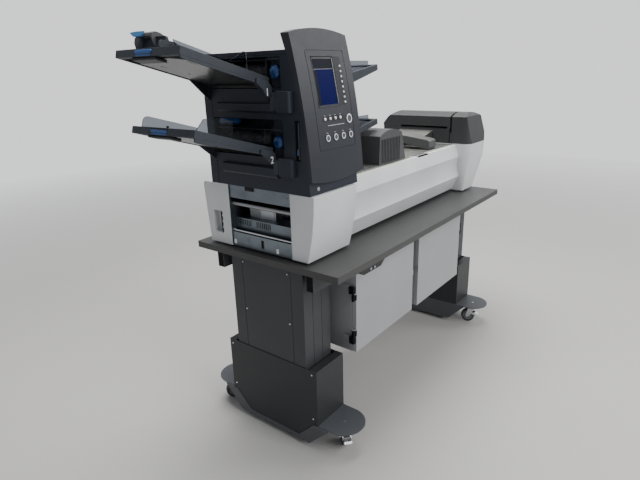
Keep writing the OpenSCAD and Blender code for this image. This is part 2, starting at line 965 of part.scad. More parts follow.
module ramp_outline(low, low_end) {
    x1 = exit_x0 - 1.5;
    polygon([[ramp_x0, low], [x1, low_end], [x1, ramp_z[1]], [ramp_x0, ramp_z[0]]]);
}

module deck() {
    x = [tower_x1 + 1, exit_x0 - 1];
    rib_t = 4;
    rib_y = [for (i = [0:3]) frame_y0 + 60 + i * 58];
    color(deck_pale)
        on_table() {
            span(x, deck_y, [base_h, deck_z]);
            // Guide ribs on both sides of the arm
            for (y = rib_y) {
                rib_end = y + rib_t < ramp_y[0] ? x[1] - 6 : ramp_x0;
                for (span_x = [[hood_x1() + 12, arm_x0 - 8], [arm_x1() + 8, rib_end]])
                    span(span_x, [y, y + rib_t], [deck_z - eps, deck_z + 2]);
            }
            // Hinge of the guide arm
            for (lx = [arm_x0 - lug_w / 2 - move_gap, arm_x1() + lug_w / 2 + move_gap])
                lug(lx, arm_pin_y, arm_pin_z);
            rod_x([arm_x0 - lug_w, arm_x1() + lug_w], arm_pin_y, arm_pin_z, pin_d / 2);
            // Ramp up to the exit slot on two side webs
            along_y(ramp_y) ramp_outline(ramp_z[0] - ramp_t, ramp_z[1] - ramp_t);
            for (y = [ramp_y[0], ramp_y[1] - ramp_t])
                along_y([y, y + ramp_t]) ramp_outline(deck_z - eps, deck_z - eps);
        }
}

module hood_front(inset) {
    x0 = hood_x0 + inset;
    x1 = hood_x1() - inset;
    z0 = deck_z - (inset > 0 ? eps : 0);
    z1 = deck_z + hood_h - inset;
    intersection() {
        polygon([[x0, z0], [x1, z0], [x1 - hood_taper, z1 + 8], [x0 + 5, z1 + 8]]);
        bulge([x0, z1 - hood_corner], [x1 - hood_taper * 0.7, z1 - hood_corner], hood_corner);
    }
}

module envelope_hood() {
    rib_x0 = hood_x0 + 16;
    rib_pitch = (hood_w - hood_taper - 26) / (hood_ribs - 1);
    rib_r = 3;
    color(fascia_grey)
        on_table() {
            difference() {
                along_y(hood_y) hood_front(0);
                along_y(hood_y + [hood_t, -hood_t]) hood_front(hood_t);
            }
            // Ribs down the front
            for (i = [0:hood_ribs - 1])
                translate([rib_x0 + i * rib_pitch, hood_y[0], deck_z + 3])
                    cylinder(r = rib_r, h = hood_h - hood_corner - 16);
        }
}

module guide_arm() {
    front_y = 226;
    low = deck_z + move_gap;
    color(fascia_grey)
        on_table()
            difference() {
                union() {
                    along_x([arm_x0, arm_x1()])
                        polygon([
                            [front_y + 8, low], [front_y, low + 12], [front_y + 2, low + 40],
                            [front_y + 12, low + 47], [arm_pin_y, arm_pin_z + 18],
                            [arm_pin_y, arm_pin_z - 18]
                        ]);
                    rod_x([arm_x0, arm_x1()], arm_pin_y, arm_pin_z, 20);
                }
                rod_x([arm_x0 - eps, arm_x1() + eps], arm_pin_y, arm_pin_z, pin_d / 2 + pin_fit);
            }
}

// Feeder tower

module tower_profile() {
    intersection() {
        polygon(concat(seam_line, [[tower_y1, seam_line[5][1]], [tower_y1, seam_line[0][1]]]));
        translate([0, tower_z0]) square([tower_y1, tower_h]);
    }
}

module mouth_cuts() {
    for (m = left_mouths) {
        z = [1, 1] * tower_z0 + m;
        span([tower_x0 - eps, tower_x0 + mouth_d], mouth_y, z);
        span([tower_x0 - eps, tower_x0 + knob_pocket_d], [knob_pocket_y[0], mouth_y[0] + eps], z);
        rod_x([tower_x0 + knob_pocket_d - eps, tower_x0 + knob_pocket_d + 14], knob_y,
            z[0] + knob_lift, knob_shaft_d / 2 + pin_fit);
        rod_y(tower_x0 + feed_roller_in, mouth_y + [-feed_journal_l - 2, feed_journal_l + 2],
            z[0] + feed_roller_lift, feed_journal_d / 2 + pin_fit);
    }
    for (m = right_mouths)
        span([tower_x1 - mouth_d, tower_x1 + eps], mouth_y, [1, 1] * tower_z0 + m);
}

module tower_shell() {
    groove = 1.5;
    rear_seam_y = 567;
    ledge_d = 14;
    upper_ledge = [266, 298];
    lower_ledge = [50, 87];
    box_d = 20;
    upper_box = [269, 335];
    lower_box = [60, 119];
    box_y = [184, 246];
    ledge_y = [254, 525];
    color(tower_grey)
        on_table()
            difference() {
                union() {
                    along_x([tower_x0, tower_x1]) tower_profile();
                    // Ledges under the left trays
                    for (l = [upper_ledge, lower_ledge])
                        along_y(ledge_y)
                            translate([tower_x0, tower_z0])
                                polygon([
                                    [eps, l[0]], [4 - ledge_d, l[0]], [-ledge_d, l[0] + 6],
                                    [-ledge_d, l[1] - 4], [4 - ledge_d, l[1]], [eps, l[1]]
                                ]);
                    // Rounded drive housings beside them
                    for (b = [upper_box, lower_box])
                        translate([0, 0, tower_z0 + b[0]])
                            linear_extrude(b[1] - b[0])
                                soft_rect([tower_x0 - box_d, box_y[0]], [tower_x0 + box_d, box_y[1]], 9);
                }
                mouth_cuts();
                // Lever recess in front of the lower feeder
                span([tower_x0 - eps, tower_x0 + 14], [160, 182], [113, 244] + [1, 1] * tower_z0);
                // Seam of the rear cover and of the top cover
                for (x = [tower_x0, tower_x1])
                    span([x - groove, x + groove], [rear_seam_y, rear_seam_y + 2],
                        [tower_z0 - eps, tower_z1 + eps]);
                span([tower_x0 - groove, tower_x0 + groove], [200, rear_seam_y],
                    [tower_z1 - 14, tower_z1 - 12]);
            }
}

function mouth_z(i) = tower_z0 + left_mouths[i][0];

module feed_roller(i) {
    z = mouth_z(i) + feed_roller_lift;
    x = tower_x0 + feed_roller_in;
    color(tyre_black)
        on_table() {
            rod_y(x, mouth_y + [-feed_journal_l, feed_journal_l], z, feed_journal_d / 2);
            rod_y(x, mouth_y + [40, -40], z, feed_roller_d / 2);
        }
}

module feed_roller_upper() { feed_roller(0); }
module feed_roller_lower() { feed_roller(1); }

module separator_knob(i) {
    z = mouth_z(i) + knob_lift;
    x1 = tower_x0 + knob_pocket_d - move_gap;
    flutes = 10;
    color(accent_blue)
        on_table()
            difference() {
                union() {
                    rod_x([x1 - knob_h, x1], knob_y, z, knob_d / 2);
                    rod_x([x1 - eps, x1 + 12], knob_y, z, knob_shaft_d / 2);
                }
                for (k = [0:flutes - 1])
                    rod_x([x1 - knob_h - eps, x1 - 4], knob_y + cos(k * 360 / flutes) * (knob_d / 2 + 2.5),
                        z + sin(k * 360 / flutes) * (knob_d / 2 + 2.5), 5);
            }
}

module separator_knob_upper() { separator_knob(0); }
module separator_knob_lower() { separator_knob(1); }

// Control fascia

face_c = bulge_c(face_a, face_b, face_sag);
face_r = bulge_r(face_a, face_b, face_sag);
function face_y(z) = face_c[0] - sqrt(face_r * face_r - (z - face_c[1]) * (z - face_c[1]));
function face_lean(z) = asin((z - face_c[1]) / face_r);

// Local frame on the fascia: x along it, y up its slope, z out of it
module on_face(x, z) {
    translate([x, face_y(z), z]) rotate([90 - face_lean(z), 0, 0]) children();
}

display_at = [fascia_xc - 11, 607];
soft_key_at = [fascia_xc + 79, 596];
soft_key_pitch = 17.1;
soft_key_d = 7;
round_key_at = [fascia_xc - 4, 489];
round_key_pitch = 29;
round_key_d = 10;
start_key_at = [fascia_xc + 89, 481];
mode_key_z = 427;
mode_key_pitch = 44.5;
function mode_key_at(i) = [fascia_xc + 22 + (i - 1.5) * mode_key_pitch, mode_key_z];
display_in = 6;
strip_in = 4;
strip_w = 14;
key_in = 4.6;
key_stroke = 1.3;
key_out = 2.2;

module fascia_blank() {
    side = [[blank_y[0], seam_line[0][1]], [blank_y[0], seam_line[5][1]]];
    intersection() {
        along_x([fascia_x0, fascia_x1])
            intersection() {
                polygon(concat([side[0]], seam_line, [side[1]]));
                bulge(face_a, face_b, face_sag);
            }
        along_y(blank_y)
            intersection() {
                translate([fascia_x0, blank_z[0]]) square([fascia_w, blank_z[1] - blank_z[0]]);
                bulge([fascia_x0, face_b[1]], [fascia_x1, face_b[1]], fascia_arch);
                bulge([fascia_x1, face_a[1]], [fascia_x0, face_a[1]], fascia_droop);
            }
    }
}

module strip_block(at, w, h, d, out) {
    on_face(at[0], at[1]) translate([-w / 2, -h / 2, -d]) cube([w, h, d + out]);
}

soft_strip = [strip_w, soft_keys * soft_key_pitch + 2];
round_strip = [4 * round_key_pitch, strip_w];

// Groove of even depth round the inset panel, following the curved face
module inset_groove_cut() {
    half = inset_panel / 2;
    inner = half - [1, 1] * inset_groove[0];
    difference() {
        on_face(fascia_xc - inset_left + half[0], inset_mid_z)
            translate([0, 0, -face_sag])
                linear_extrude(3 * face_sag)
                    difference() {
                        soft_rect(-half, half, 6);
                        soft_rect(-inner, inner, 5);
                    }
        along_x([fascia_x0, fascia_x1]) bulge(face_a, face_b, face_sag, inset_groove[1]);
    }
}

module fascia() {
    color(fascia_grey)
        on_table()
            difference() {
                fascia_blank();
                inset_groove_cut();
                strip_block(display_at, display_w + 1, display_h + 1, display_in, 20);
                strip_block(soft_key_at, soft_strip[0], soft_strip[1], strip_in, 20);
                strip_block(round_key_at, round_strip[0], round_strip[1], strip_in, 20);
                on_face(start_key_at[0], start_key_at[1])
                    translate([0, 0, -key_in - key_stroke])
                        cylinder(d = start_key_d + 2 * pin_fit, h = 30);
                for (i = [0:3])
                    on_face(mode_key_at(i)[0], mode_key_at(i)[1])
                        translate([0, 0, -key_in - key_stroke])
                            cylinder(d = mode_key_d + 2 * pin_fit, h = 30);
            }
}

module display() {
    glass_t = 3;
    color([0.05, 0.08, 0.40])
        on_table()
            on_face(display_at[0], display_at[1])
                translate([-display_w / 2, -display_h / 2, -display_in])
                    cube([display_w, display_h, glass_t]);
}

module key_mat() {
    web = strip_in - 0.5;
    color(key_silver)
        on_table() {
            strip_block(soft_key_at, soft_strip[0] - 0.6, soft_strip[1] - 0.6, strip_in, web - strip_in);
            strip_block(round_key_at, round_strip[0] - 0.6, round_strip[1] - 0.6, strip_in, web - strip_in);
            on_face(soft_key_at[0], soft_key_at[1])
                for (i = [0:soft_keys - 1])
                    translate([0, (i - (soft_keys - 1) / 2) * soft_key_pitch, -strip_in])
                        cylinder(d = soft_key_d, h = strip_in + 1.2);
            on_face(round_key_at[0], round_key_at[1])
                for (i = [0:3])
                    translate([(i - 1.5) * round_key_pitch, 0, -strip_in])
                        cylinder(d = round_key_d, h = strip_in + 1.2);
        }
}

module ring_key(at, d) {
    dish_d = d * 0.6;
    color(key_silver)
        on_table()
            on_face(at[0], at[1])
                translate([0, 0, -key_in])
                    difference() {
                        cylinder(d = d, h = key_in + key_out);
                        translate([0, 0, key_in + key_out - 1]) cylinder(d = dish_d, h = 1 + eps);
                    }
}

module start_key() { ring_key(start_key_at, start_key_d); }
module mode_key(i) { ring_key(mode_key_at(i - 1), mode_key_d); }

// Trays, numbered upper left, lower left, upper right, lower right

// Local frame of a tray: x outwards up its slope, y across, z off its floor
module on_tray(t) {
    translate([t < 2 ? tower_x0 : tower_x1, 0, tower_z0 + tray_rise[t]])
        mirror([t < 2 ? 1 : 0, 0, 0])
            rotate([0, -tray_slope[t], 0]) children();
}

module tray_gusset(t) {
    rise = tan(tray_slope[t]);
    hang = tray_skirt / cos(tray_slope[t]) - 3;
    polygon([[0, -gusset_h[t]], [0, -hang], [gusset_l[t], gusset_l[t] * rise - hang]]);
}

module tray_body(t) {
    len = tray_len[t];
    difference() {
        union() {
            span([tray_start, len], [tray_y0, tray_y1], [-tray_t, 0]);
            for (y = [tray_y0, tray_y1 - tray_rail])
                along_y([y, y + tray_rail])
                    polygon([
                        [tray_start, -tray_skirt - tray_deep[t]], [len, -tray_skirt],
                        [len, tray_lip], [tray_start, tray_lip]
                    ]);
            span([len - tray_bar, len], [tray_y0, tray_y1], [-tray_skirt, tray_lip]);
        }
        // Cross slot of the paper guides
        span([guide_slot_x, guide_slot_x + guide_slot_w],
            guide_slot_y(t), [-tray_t - eps, eps]);
        // Pocket of the latch button in the end bar of the left trays
        if (t < 2)
            span([len - latch_d - 2, len + eps], [latch_y - latch_w / 2, latch_y + latch_w / 2],
                [-latch_h + 4, 4]);
        // Slot of the paper stop
        if (t == 0)
            span([len - tray_bar - stop_l - stop_travel, len - tray_bar - 6],
                [stop_slot_y, stop_slot_y + guide_slot_w], [-tray_t - eps, eps]);
    }
}

function guide_slot_y(t) = [guide_y[t] - guide_reach[t][0] - 8, guide_y[t] + guide_reach[t][1] + 8]
    + (t < 2 ? [2 * (tray_yc - guide_y[t]) + guide_reach[t][0] - guide_reach[t][1], 0] : [0, 0]);

module tray(t) {
    color(fascia_grey)
        on_table() {
            on_tray(t) tray_body(t);
            for (y = [tray_y0 + 3, tray_y1 - 3 - gusset_t])
                translate([t < 2 ? tower_x0 : tower_x1, 0, tower_z0 + tray_rise[t]])
                    mirror([t < 2 ? 1 : 0, 0, 0])
                        along_y([y, y + gusset_t]) tray_gusset(t);
        }
}

module tray_upper_left() { tray(0); }
module tray_lower_left() { tray(1); }
module tray_upper_right() { tray(2); }
module tray_lower_right() { tray(3); }

// Upright panel with a round outer top corner
module guide_panel(x, y, high, foot) {
    round_r = min(high * 0.45, 30);
    gap = move_gap;
    along_y([y, y + guide_t])
        union() {
            translate([x[0], gap]) square([x[1] - x[0] - round_r, high - gap]);
            translate([x[0], gap]) square([x[1] - x[0], high - gap - round_r]);
            translate([x[1] - round_r, high - round_r]) circle(r = round_r);
        }
    guide_foot(y, foot);
}

// Foot of a guide on the tray floor and its tongue in the cross slot
module guide_foot(y, foot) {
    span([guide_slot_x - 20, guide_slot_x + guide_slot_w + 20], [y, y] + foot,
        [move_gap, move_gap + 2.5]);
    span([guide_slot_x + move_gap, guide_slot_x + guide_slot_w - move_gap], [y, y + guide_t],
        [-tray_t + 0.5, move_gap + eps]);
}

module rear_guide(t) {
    color(clear_smoke)
        on_table()
            on_tray(t) guide_panel(guide_x[t], guide_y[t], guide_high[t], [-14, guide_t]);
}

// Guide of a right tray: its top edge stays level over the rising floor
module right_guide(t) {
    x = guide_x[t];
    y = guide_y[t];
    high = guide_high[t];
    rise = (x[1] - x[0] - guide_nose) * tan(tray_slope[t]);
    color(clear_smoke)
        on_table()
            on_tray(t) {
                along_y([y, y + guide_t])
                    polygon([
                        [x[0], move_gap], [x[1], move_gap], [x[1], high],
                        [x[0] + guide_nose, high + rise], [x[0], high]
                    ]);
                guide_foot(y, [0, guide_t + 14]);
            }
}

module guide_upper_left() { rear_guide(0); }
module guide_lower_left() { rear_guide(1); }
module guide_upper_right() { right_guide(2); }
module guide_lower_right() { right_guide(3); }

module front_guide(t) {
    y = 2 * tray_yc - guide_y[t] - guide_t;
    low = front_guide_low[t];
    color(clear_smoke)
        on_table()
            on_tray(t) {
                along_y([y, y + guide_t])
                    polygon(concat([[low[0], move_gap], [low[1], move_gap]], front_guide_top[t]));
                guide_foot(y, [0, guide_t + 14]);
            }
}

module front_guide_upper() { front_guide(0); }
module front_guide_lower() { front_guide(1); }

module tray_latch(t) {
    len = tray_len[t];
    color(accent_blue)
        on_table()
            on_tray(t)
                span([len - latch_d, len + 1.5],
                    [latch_y - latch_w / 2 + move_gap, latch_y + latch_w / 2 - move_gap],
                    [-latch_h + 4 + move_gap, 4 - move_gap]);
}

module tray_latch_upper() { tray_latch(0); }
module tray_latch_lower() { tray_latch(1); }

module paper_stop() {
    x1 = tray_len[0] - tray_bar - 8;
    color(fascia_grey)
        on_table()
            on_tray(0) {
                along_y(stop_y)
                    polygon([
                        [x1 + stop_cheek[0][0], move_gap], [x1, move_gap], [x1, stop_h],
                        [x1 - 6, stop_h], [x1 - stop_l / 2, stop_h / 3], stop_cheek[0] + [x1, 0]
                    ]);
                // Cheeks of the scoop, the front one cut lower
                for (c = [[stop_y[0], 0.6], [stop_y[1] - stop_cheek_t, 1]])
                    along_y([c[0], c[0] + stop_cheek_t])
                        polygon(concat(
                            [[x1, move_gap], [x1 + stop_cheek[0][0], move_gap]],
                            [for (p = stop_cheek) [x1 + p[0], max(p[1] * c[1], p[0] > 0 ? 12 : 3)]]
                        ));
                span([x1 - stop_l, x1 - 2], [stop_slot_y + move_gap, stop_slot_y + guide_slot_w - move_gap],
                    [-tray_t + 0.5, move_gap + eps]);
            }
}

// Exit module

module exit_side() {
    x = [exit_x0, exit_x1];
    z = [foot_gap, exit_base_h];
    intersection() {
        polygon([[x[0], z[0]], [x[1] - 96, z[0]], [x[1] + 40, z[1] + 40], [x[0], z[1] + 40]]);
        translate([x[0], z[0]]) square([exit_l, z[1] - z[0]]);
        bulge([x[1], z[1]], [x[1] - 96, z[0]], 14, 0, $fn = big_fn);
    }
}

module exit_front() {
    polygon([
        [exit_y[0] + 27, foot_gap], [exit_y[0], exit_base_h],
        [exit_y[1], exit_base_h], [exit_y[1] - 20, foot_gap]
    ]);
}

module exit_plan() {
    linear_extrude(exit_z1 + 40)
        soft_rect([exit_x0, exit_y[0]], [exit_x1, exit_y[1]], exit_corner);
}

module exit_base() {
    color(cover_white)
        on_table()
            union() {
                intersection() {
                    along_y(exit_y) exit_side();
                    along_x([exit_x0, exit_x1]) exit_front();
                    exit_plan();
                }
                for (x = [exit_x0 + 35, exit_x0 + 105], y = [exit_y[0] + 70, exit_y[1] - 70])
                    translate([x, y, 0]) cylinder(r = 18, h = foot_gap + eps);
            }
}

// Roof of the dark covers: low edge over the slot, crown, rounded fall at the end
module exit_roof(z0, inset = 0) {
    x = [exit_x0 + inset, exit_x1 - inset];
    intersection() {
        polygon([
            [x[0], exit_base_h], [x[1], exit_base_h], [x[1] - 46, exit_z1], [x[0], exit_z1]
        ]);
        translate([x[0], z0]) square([exit_l, exit_z1 - z0]);
        bulge([exit_x0, exit_z1 - 20], [exit_x1 - 50, exit_z1 - 20], 20, inset);
    }
}

module exit_cap() {
    lean = [
        [exit_y[0], exit_base_h], [exit_y[0] + 26, exit_z1 - 18], [exit_y[0] + 49, exit_z1],
        [cap_y1, exit_z1], [cap_y1, exit_base_h]
    ];
    seat_y = [cap_y1 - eps, exit_y[1] - 4];
    lug_y = [lid_y[0] + ear_in[0] + ear_step, lid_y[1] - ear_in[1] - ear_step];
    color(fascia_grey)
        on_table()
            difference() {
                union() {
                    intersection() {
                        along_y([exit_y[0], cap_y1]) exit_roof(exit_base_h);
                        along_x([exit_x0, exit_x1]) polygon(lean);
                        exit_plan();
                    }
                    // Bed under the lid, with the lid's hinge pin behind it
                    span([exit_x0, exit_x1 - 56], seat_y, [exit_base_h, bed_z]);
                    for (y = lug_y)
                        span([exit_x1 - 57, lid_pin_x + 7], [y, y + lug_w], [exit_base_h, lid_pin_z + 7]);
                    rod_y(lid_pin_x, [lug_y[0] - 16, lug_y[1] + lug_w + 16], lid_pin_z, lid_pin_d / 2);
                }
                span([exit_x0 - eps, exit_x1], [cap_y1, lid_y[0]], [bed_z - 24, exit_z1]);
            }
}

module lid_side(inset) {
    y = [lid_y[0] + inset, lid_y[1] - inset];
    polygon([
        [y[0], exit_base_h + 20], [y[0], exit_z1], [y[1] - lid_fall[0], exit_z1],
        [y[1] - lid_fall[1], exit_z1 - lid_fall_h - inset], [y[1], bed_z + 16], [y[1] - 2, exit_base_h + 20]
    ]);
}

module exit_cover() {
    z0 = bed_z + move_gap;
    ends = 15;
    skirt_z = lid_pin_z - 12;
    ear_y = [lid_y[0] + ear_in[0], lid_y[1] - ear_in[1]];
    color(fascia_grey)
        on_table()
            difference() {
                union() {
                    difference() {
                        intersection() {
                            along_y(lid_y) exit_roof(z0);
                            along_x([exit_x0, exit_x1]) lid_side(0);
                        }
                        intersection() {
                            along_y(lid_y) exit_roof(z0 - eps, cover_t);
                            along_x([exit_x0, exit_x1]) lid_side(cover_t);
                        }
                        // Envelope slot in the inner end
                        span([exit_x0 - eps, exit_x0 + 2 * cover_t], [lid_y[0] + ends, lid_y[1] - 112],
                            [z0 - eps, bed_z + slot_h]);
                    }
                    // Ears down to the hinge pin
                    for (y = ear_y)
                        intersection() {
                            span([lid_pin_x - 12, lid_pin_x + 8], [y, y + lug_w - move_gap],
                                [skirt_z, z0 + 30]);
                            along_y(lid_y) exit_roof(exit_base_h);
                        }
                }
                rod_y(lid_pin_x, lid_y, lid_pin_z, lid_pin_d / 2 + pin_fit);
            }
}

foot_left();
foot_right();
shrouds();
sleeves();
table_top();
table_frame();
cabinet_left();
cabinet_right();
door_left();
door_right();
lift_control();
lift_up_key();
lift_down_key();
caster_fork(0);  // caster_fork_1
caster_fork(1);  // caster_fork_2
caster_fork(2);  // caster_fork_3
caster_fork(3);  // caster_fork_4
caster_wheel(0);  // caster_wheel_1
caster_wheel(1);  // caster_wheel_2
caster_wheel(2);  // caster_wheel_3
caster_wheel(3);  // caster_wheel_4
base_chassis();
fold_roller();
drive_motor();
base_front_cover();
base_rear_cover();
front_panel();
rear_panel();
deck();
tower_shell();
feed_roller_upper();
feed_roller_lower();
separator_knob_upper();
separator_knob_lower();
fascia();
display();
key_mat();
start_key();
mode_key(1);  // mode_key_1
mode_key(2);  // mode_key_2
mode_key(3);  // mode_key_3
mode_key(4);  // mode_key_4
tray_upper_left();
tray_lower_left();
tray_upper_right();
tray_lower_right();
guide_upper_left();
guide_lower_left();
guide_upper_right();
guide_lower_right();
front_guide_upper();
front_guide_lower();
tray_latch_upper();
tray_latch_lower();
paper_stop();
envelope_hood();
guide_arm();
exit_base();
exit_cover();
exit_cap();
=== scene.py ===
"""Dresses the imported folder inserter: finishes for its solids and the small fittings they carry."""
import json
import math
from collections import namedtuple

import bmesh
import bpy
from bpy.props import FloatProperty, FloatVectorProperty, IntProperty, PointerProperty
from bpy.types import Operator, Panel, PropertyGroup
from mathutils import Matrix, Vector


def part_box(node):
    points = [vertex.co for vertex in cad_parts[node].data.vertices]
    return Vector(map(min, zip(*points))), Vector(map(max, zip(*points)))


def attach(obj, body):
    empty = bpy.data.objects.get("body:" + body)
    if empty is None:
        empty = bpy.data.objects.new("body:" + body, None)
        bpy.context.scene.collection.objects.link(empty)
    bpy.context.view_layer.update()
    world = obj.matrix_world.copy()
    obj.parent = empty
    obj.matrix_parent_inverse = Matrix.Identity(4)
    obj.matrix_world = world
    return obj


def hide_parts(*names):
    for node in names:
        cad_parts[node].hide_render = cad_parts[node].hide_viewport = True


bl_info = {
    "name": "Folder inserter dressing",
    "version": (1, 0, 0),
    "blender": (4, 2, 0),
    "location": "View3D > Sidebar > Inserter",
    "description": "Finishes and small fittings for a folder inserter on a lift table",
    "category": "Object",
}

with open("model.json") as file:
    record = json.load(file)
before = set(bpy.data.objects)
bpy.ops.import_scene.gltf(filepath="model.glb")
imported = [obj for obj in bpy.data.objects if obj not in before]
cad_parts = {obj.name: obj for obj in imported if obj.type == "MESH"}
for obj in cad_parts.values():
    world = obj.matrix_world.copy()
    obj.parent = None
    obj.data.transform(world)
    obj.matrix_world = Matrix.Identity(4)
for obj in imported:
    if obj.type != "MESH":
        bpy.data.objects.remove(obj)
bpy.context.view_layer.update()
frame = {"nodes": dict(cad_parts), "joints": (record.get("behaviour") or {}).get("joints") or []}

MM = 0.001
TABLE_LOW, TABLE_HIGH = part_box("table_top")
TABLE_LENGTH = (TABLE_HIGH.x - TABLE_LOW.x) / MM

# Fascia curve in millimetres of the table frame, as a chord with a bulge
FACE_LOW = (115.0, 296.0)
FACE_TOP = (190.0, 756.0)
FACE_SAG = 11.3
FACE_CHORD = math.dist(FACE_LOW, FACE_TOP)
FACE_RADIUS = (FACE_CHORD**2 / 4 + FACE_SAG**2) / (2 * FACE_SAG)
FACE_REACH = (FACE_RADIUS - FACE_SAG) / FACE_CHORD
FACE_CENTRE_Y = (FACE_LOW[0] + FACE_TOP[0]) / 2 + (FACE_TOP[1] - FACE_LOW[1]) * FACE_REACH
FACE_CENTRE_Z = (FACE_LOW[1] + FACE_TOP[1]) / 2 - (FACE_TOP[0] - FACE_LOW[0]) * FACE_REACH

# Places on the fascia, along the table and above its top, and the pitch of each row of keys
FASCIA_X = 177.0
DISPLAY_AT = (FASCIA_X - 11, 607)
SOFT_KEYS_AT = (FASCIA_X + 79, 596)
SOFT_KEYS, SOFT_PITCH = 8, 17.1
ROUND_KEYS_AT = (FASCIA_X - 4, 489)
ROUND_KEYS, ROUND_PITCH = 4, 29.0
MODE_KEYS_AT = (FASCIA_X + 22, 427)
MODE_KEYS, MODE_PITCH = 4, 44.5
START_KEY_AT = (266, 481)

# Trays: inner end along the table and above its top, slope in degrees, way they point, length
Tray = namedtuple("Tray", "x z slope way length")
TRAYS = {
    "upper_left": Tray(27.0, 617.0, 15.1, -1, 356.0),
    "lower_left": Tray(27.0, 392.0, 16.0, -1, 337.0),
    "upper_right": Tray(305.0, 593.0, 9.0, 1, 389.0),
    "lower_right": Tray(305.0, 358.0, 10.8, 1, 394.0),
}
TRAY_Y = (277.0, 585.0)
LEVELS = ("upper", "lower")
CASTERS = range(1, 5)

# Outlines are drawn in x and z; these turn them into y and z, or x and y
SWAP_XY = Matrix(((0, 1, 0, 0), (1, 0, 0, 0), (0, 0, 1, 0), (0, 0, 0, 1)))
SWAP_YZ = Matrix(((1, 0, 0, 0), (0, 0, 1, 0), (0, 1, 0, 0), (0, 0, 0, 1)))

# Directions that fittings look along
LEFT, RIGHT = (-1, 0, 0), (1, 0, 0)
FRONT, BACK = (0, -1, 0), (0, 1, 0)

# Places and axes of the joints
JOINTS = {joint["name"]: joint for joint in frame["joints"]}

# Studio: colours and strengths of the sky and of what the camera sees behind the part
SKY = ((0.93, 0.95, 1.0, 1.0), 0.44)
BACKDROP = ((0.90, 0.91, 0.92, 1.0), 1.3)
# Lights: name, place, size in metres, power in watts
LIGHTS = (
    ("key", (-0.6, -5.0, 3.6), 3.0, 205.0),
    ("side", (3.8, -3.4, 3.6), 2.6, 85.0),
    ("top", (0.3, 0.7, 4.6), 3.0, 295.0),
    ("wall", (6.0, 0.6, 1.7), 4.0, 45.0),
)
LIGHT_TARGET = Vector((0, 0, 0.8))
# Distances from the middle at which the floor starts to fade and is gone
FLOOR_FADE = (2.5, 7.0)
# Camera: place in metres, turn in degrees, lens in millimetres
CAMERA_PLACE = (-1.985, -1.247, 1.413)
CAMERA_TURN = (71.4854, 1.5374, -52.4656)
CAMERA_LENS = 28.52


def spot(x, y, z):
    """Point in the row frame from millimetres along the table, across it and above its top."""
    return Vector((TABLE_LOW.x + x * MM, TABLE_LOW.y + y * MM, TABLE_HIGH.z + z * MM))


def table_box(name):
    """Corners of a solid in the millimetres that spot takes."""
    return [(corner - spot(0, 0, 0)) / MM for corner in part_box(name)]


def low_middle(name, axis):
    """Middle of a solid's face on the low side of an axis, in the row frame."""
    low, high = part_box(name)
    middle = (low + high) / 2
    middle[axis] = low[axis]
    return middle


def millimetres(place, turn=Matrix.Identity(3)):
    """Matrix of a frame in millimetres at a row-frame point."""
    return Matrix.Translation(place) @ turn.to_4x4() @ Matrix.Scale(MM, 4)


def table_frame():
    """Matrix of the table frame in millimetres."""
    return millimetres(spot(0, 0, 0))


def face_frame(x, z):
    """Matrix of a place on the fascia: x along it, y up its slope, z out of it, in millimetres."""
    lean = math.asin((z - FACE_CENTRE_Z) / FACE_RADIUS)
    y = FACE_CENTRE_Y - math.sqrt(FACE_RADIUS**2 - (z - FACE_CENTRE_Z) ** 2)
    s, c = math.sin(lean), math.cos(lean)
    return millimetres(spot(x, y, z), Matrix(((1, 0, 0), (0, s, -c), (0, c, s))))


def tray_frame(name):
    """Matrix of a tray: x outwards up its slope, y across the table, z off its floor, in millimetres."""
    tray = TRAYS[name]
    s, c = math.sin(math.radians(tray.slope)), math.cos(math.radians(tray.slope))
    turn = Matrix(((tray.way * c, 0, -tray.way * s), (0, 1, 0), (s, 0, c)))
    return millimetres(spot(tray.x, 0, tray.z), turn)


def aim_frame(centre, direction):
    """Matrix in millimetres at a row-frame point whose z looks along a direction."""
    return millimetres(centre, Vector(direction).to_track_quat("Z", "Y").to_matrix())


def row(count, pitch):
    """Steps of an even row about its middle."""
    return [(k - (count - 1) / 2) * pitch for k in range(count)]


# Shader maths

class Wire:
    """A shader socket that can stand in a Python sum."""

    def __init__(self, finish, socket):
        self.finish = finish
        self.socket = socket

    def sum(self, operation, first, second):
        return self.finish.node("ShaderNodeMath", {"operation": operation}, {0: first, 1: second})

    def __add__(self, other):
        return self.sum("ADD", self, other)

    def __rsub__(self, other):
        return self.sum("SUBTRACT", other, self)

    def __mul__(self, other):
        return self.sum("MULTIPLY", self, other)

    __radd__ = __add__
    __rmul__ = __mul__


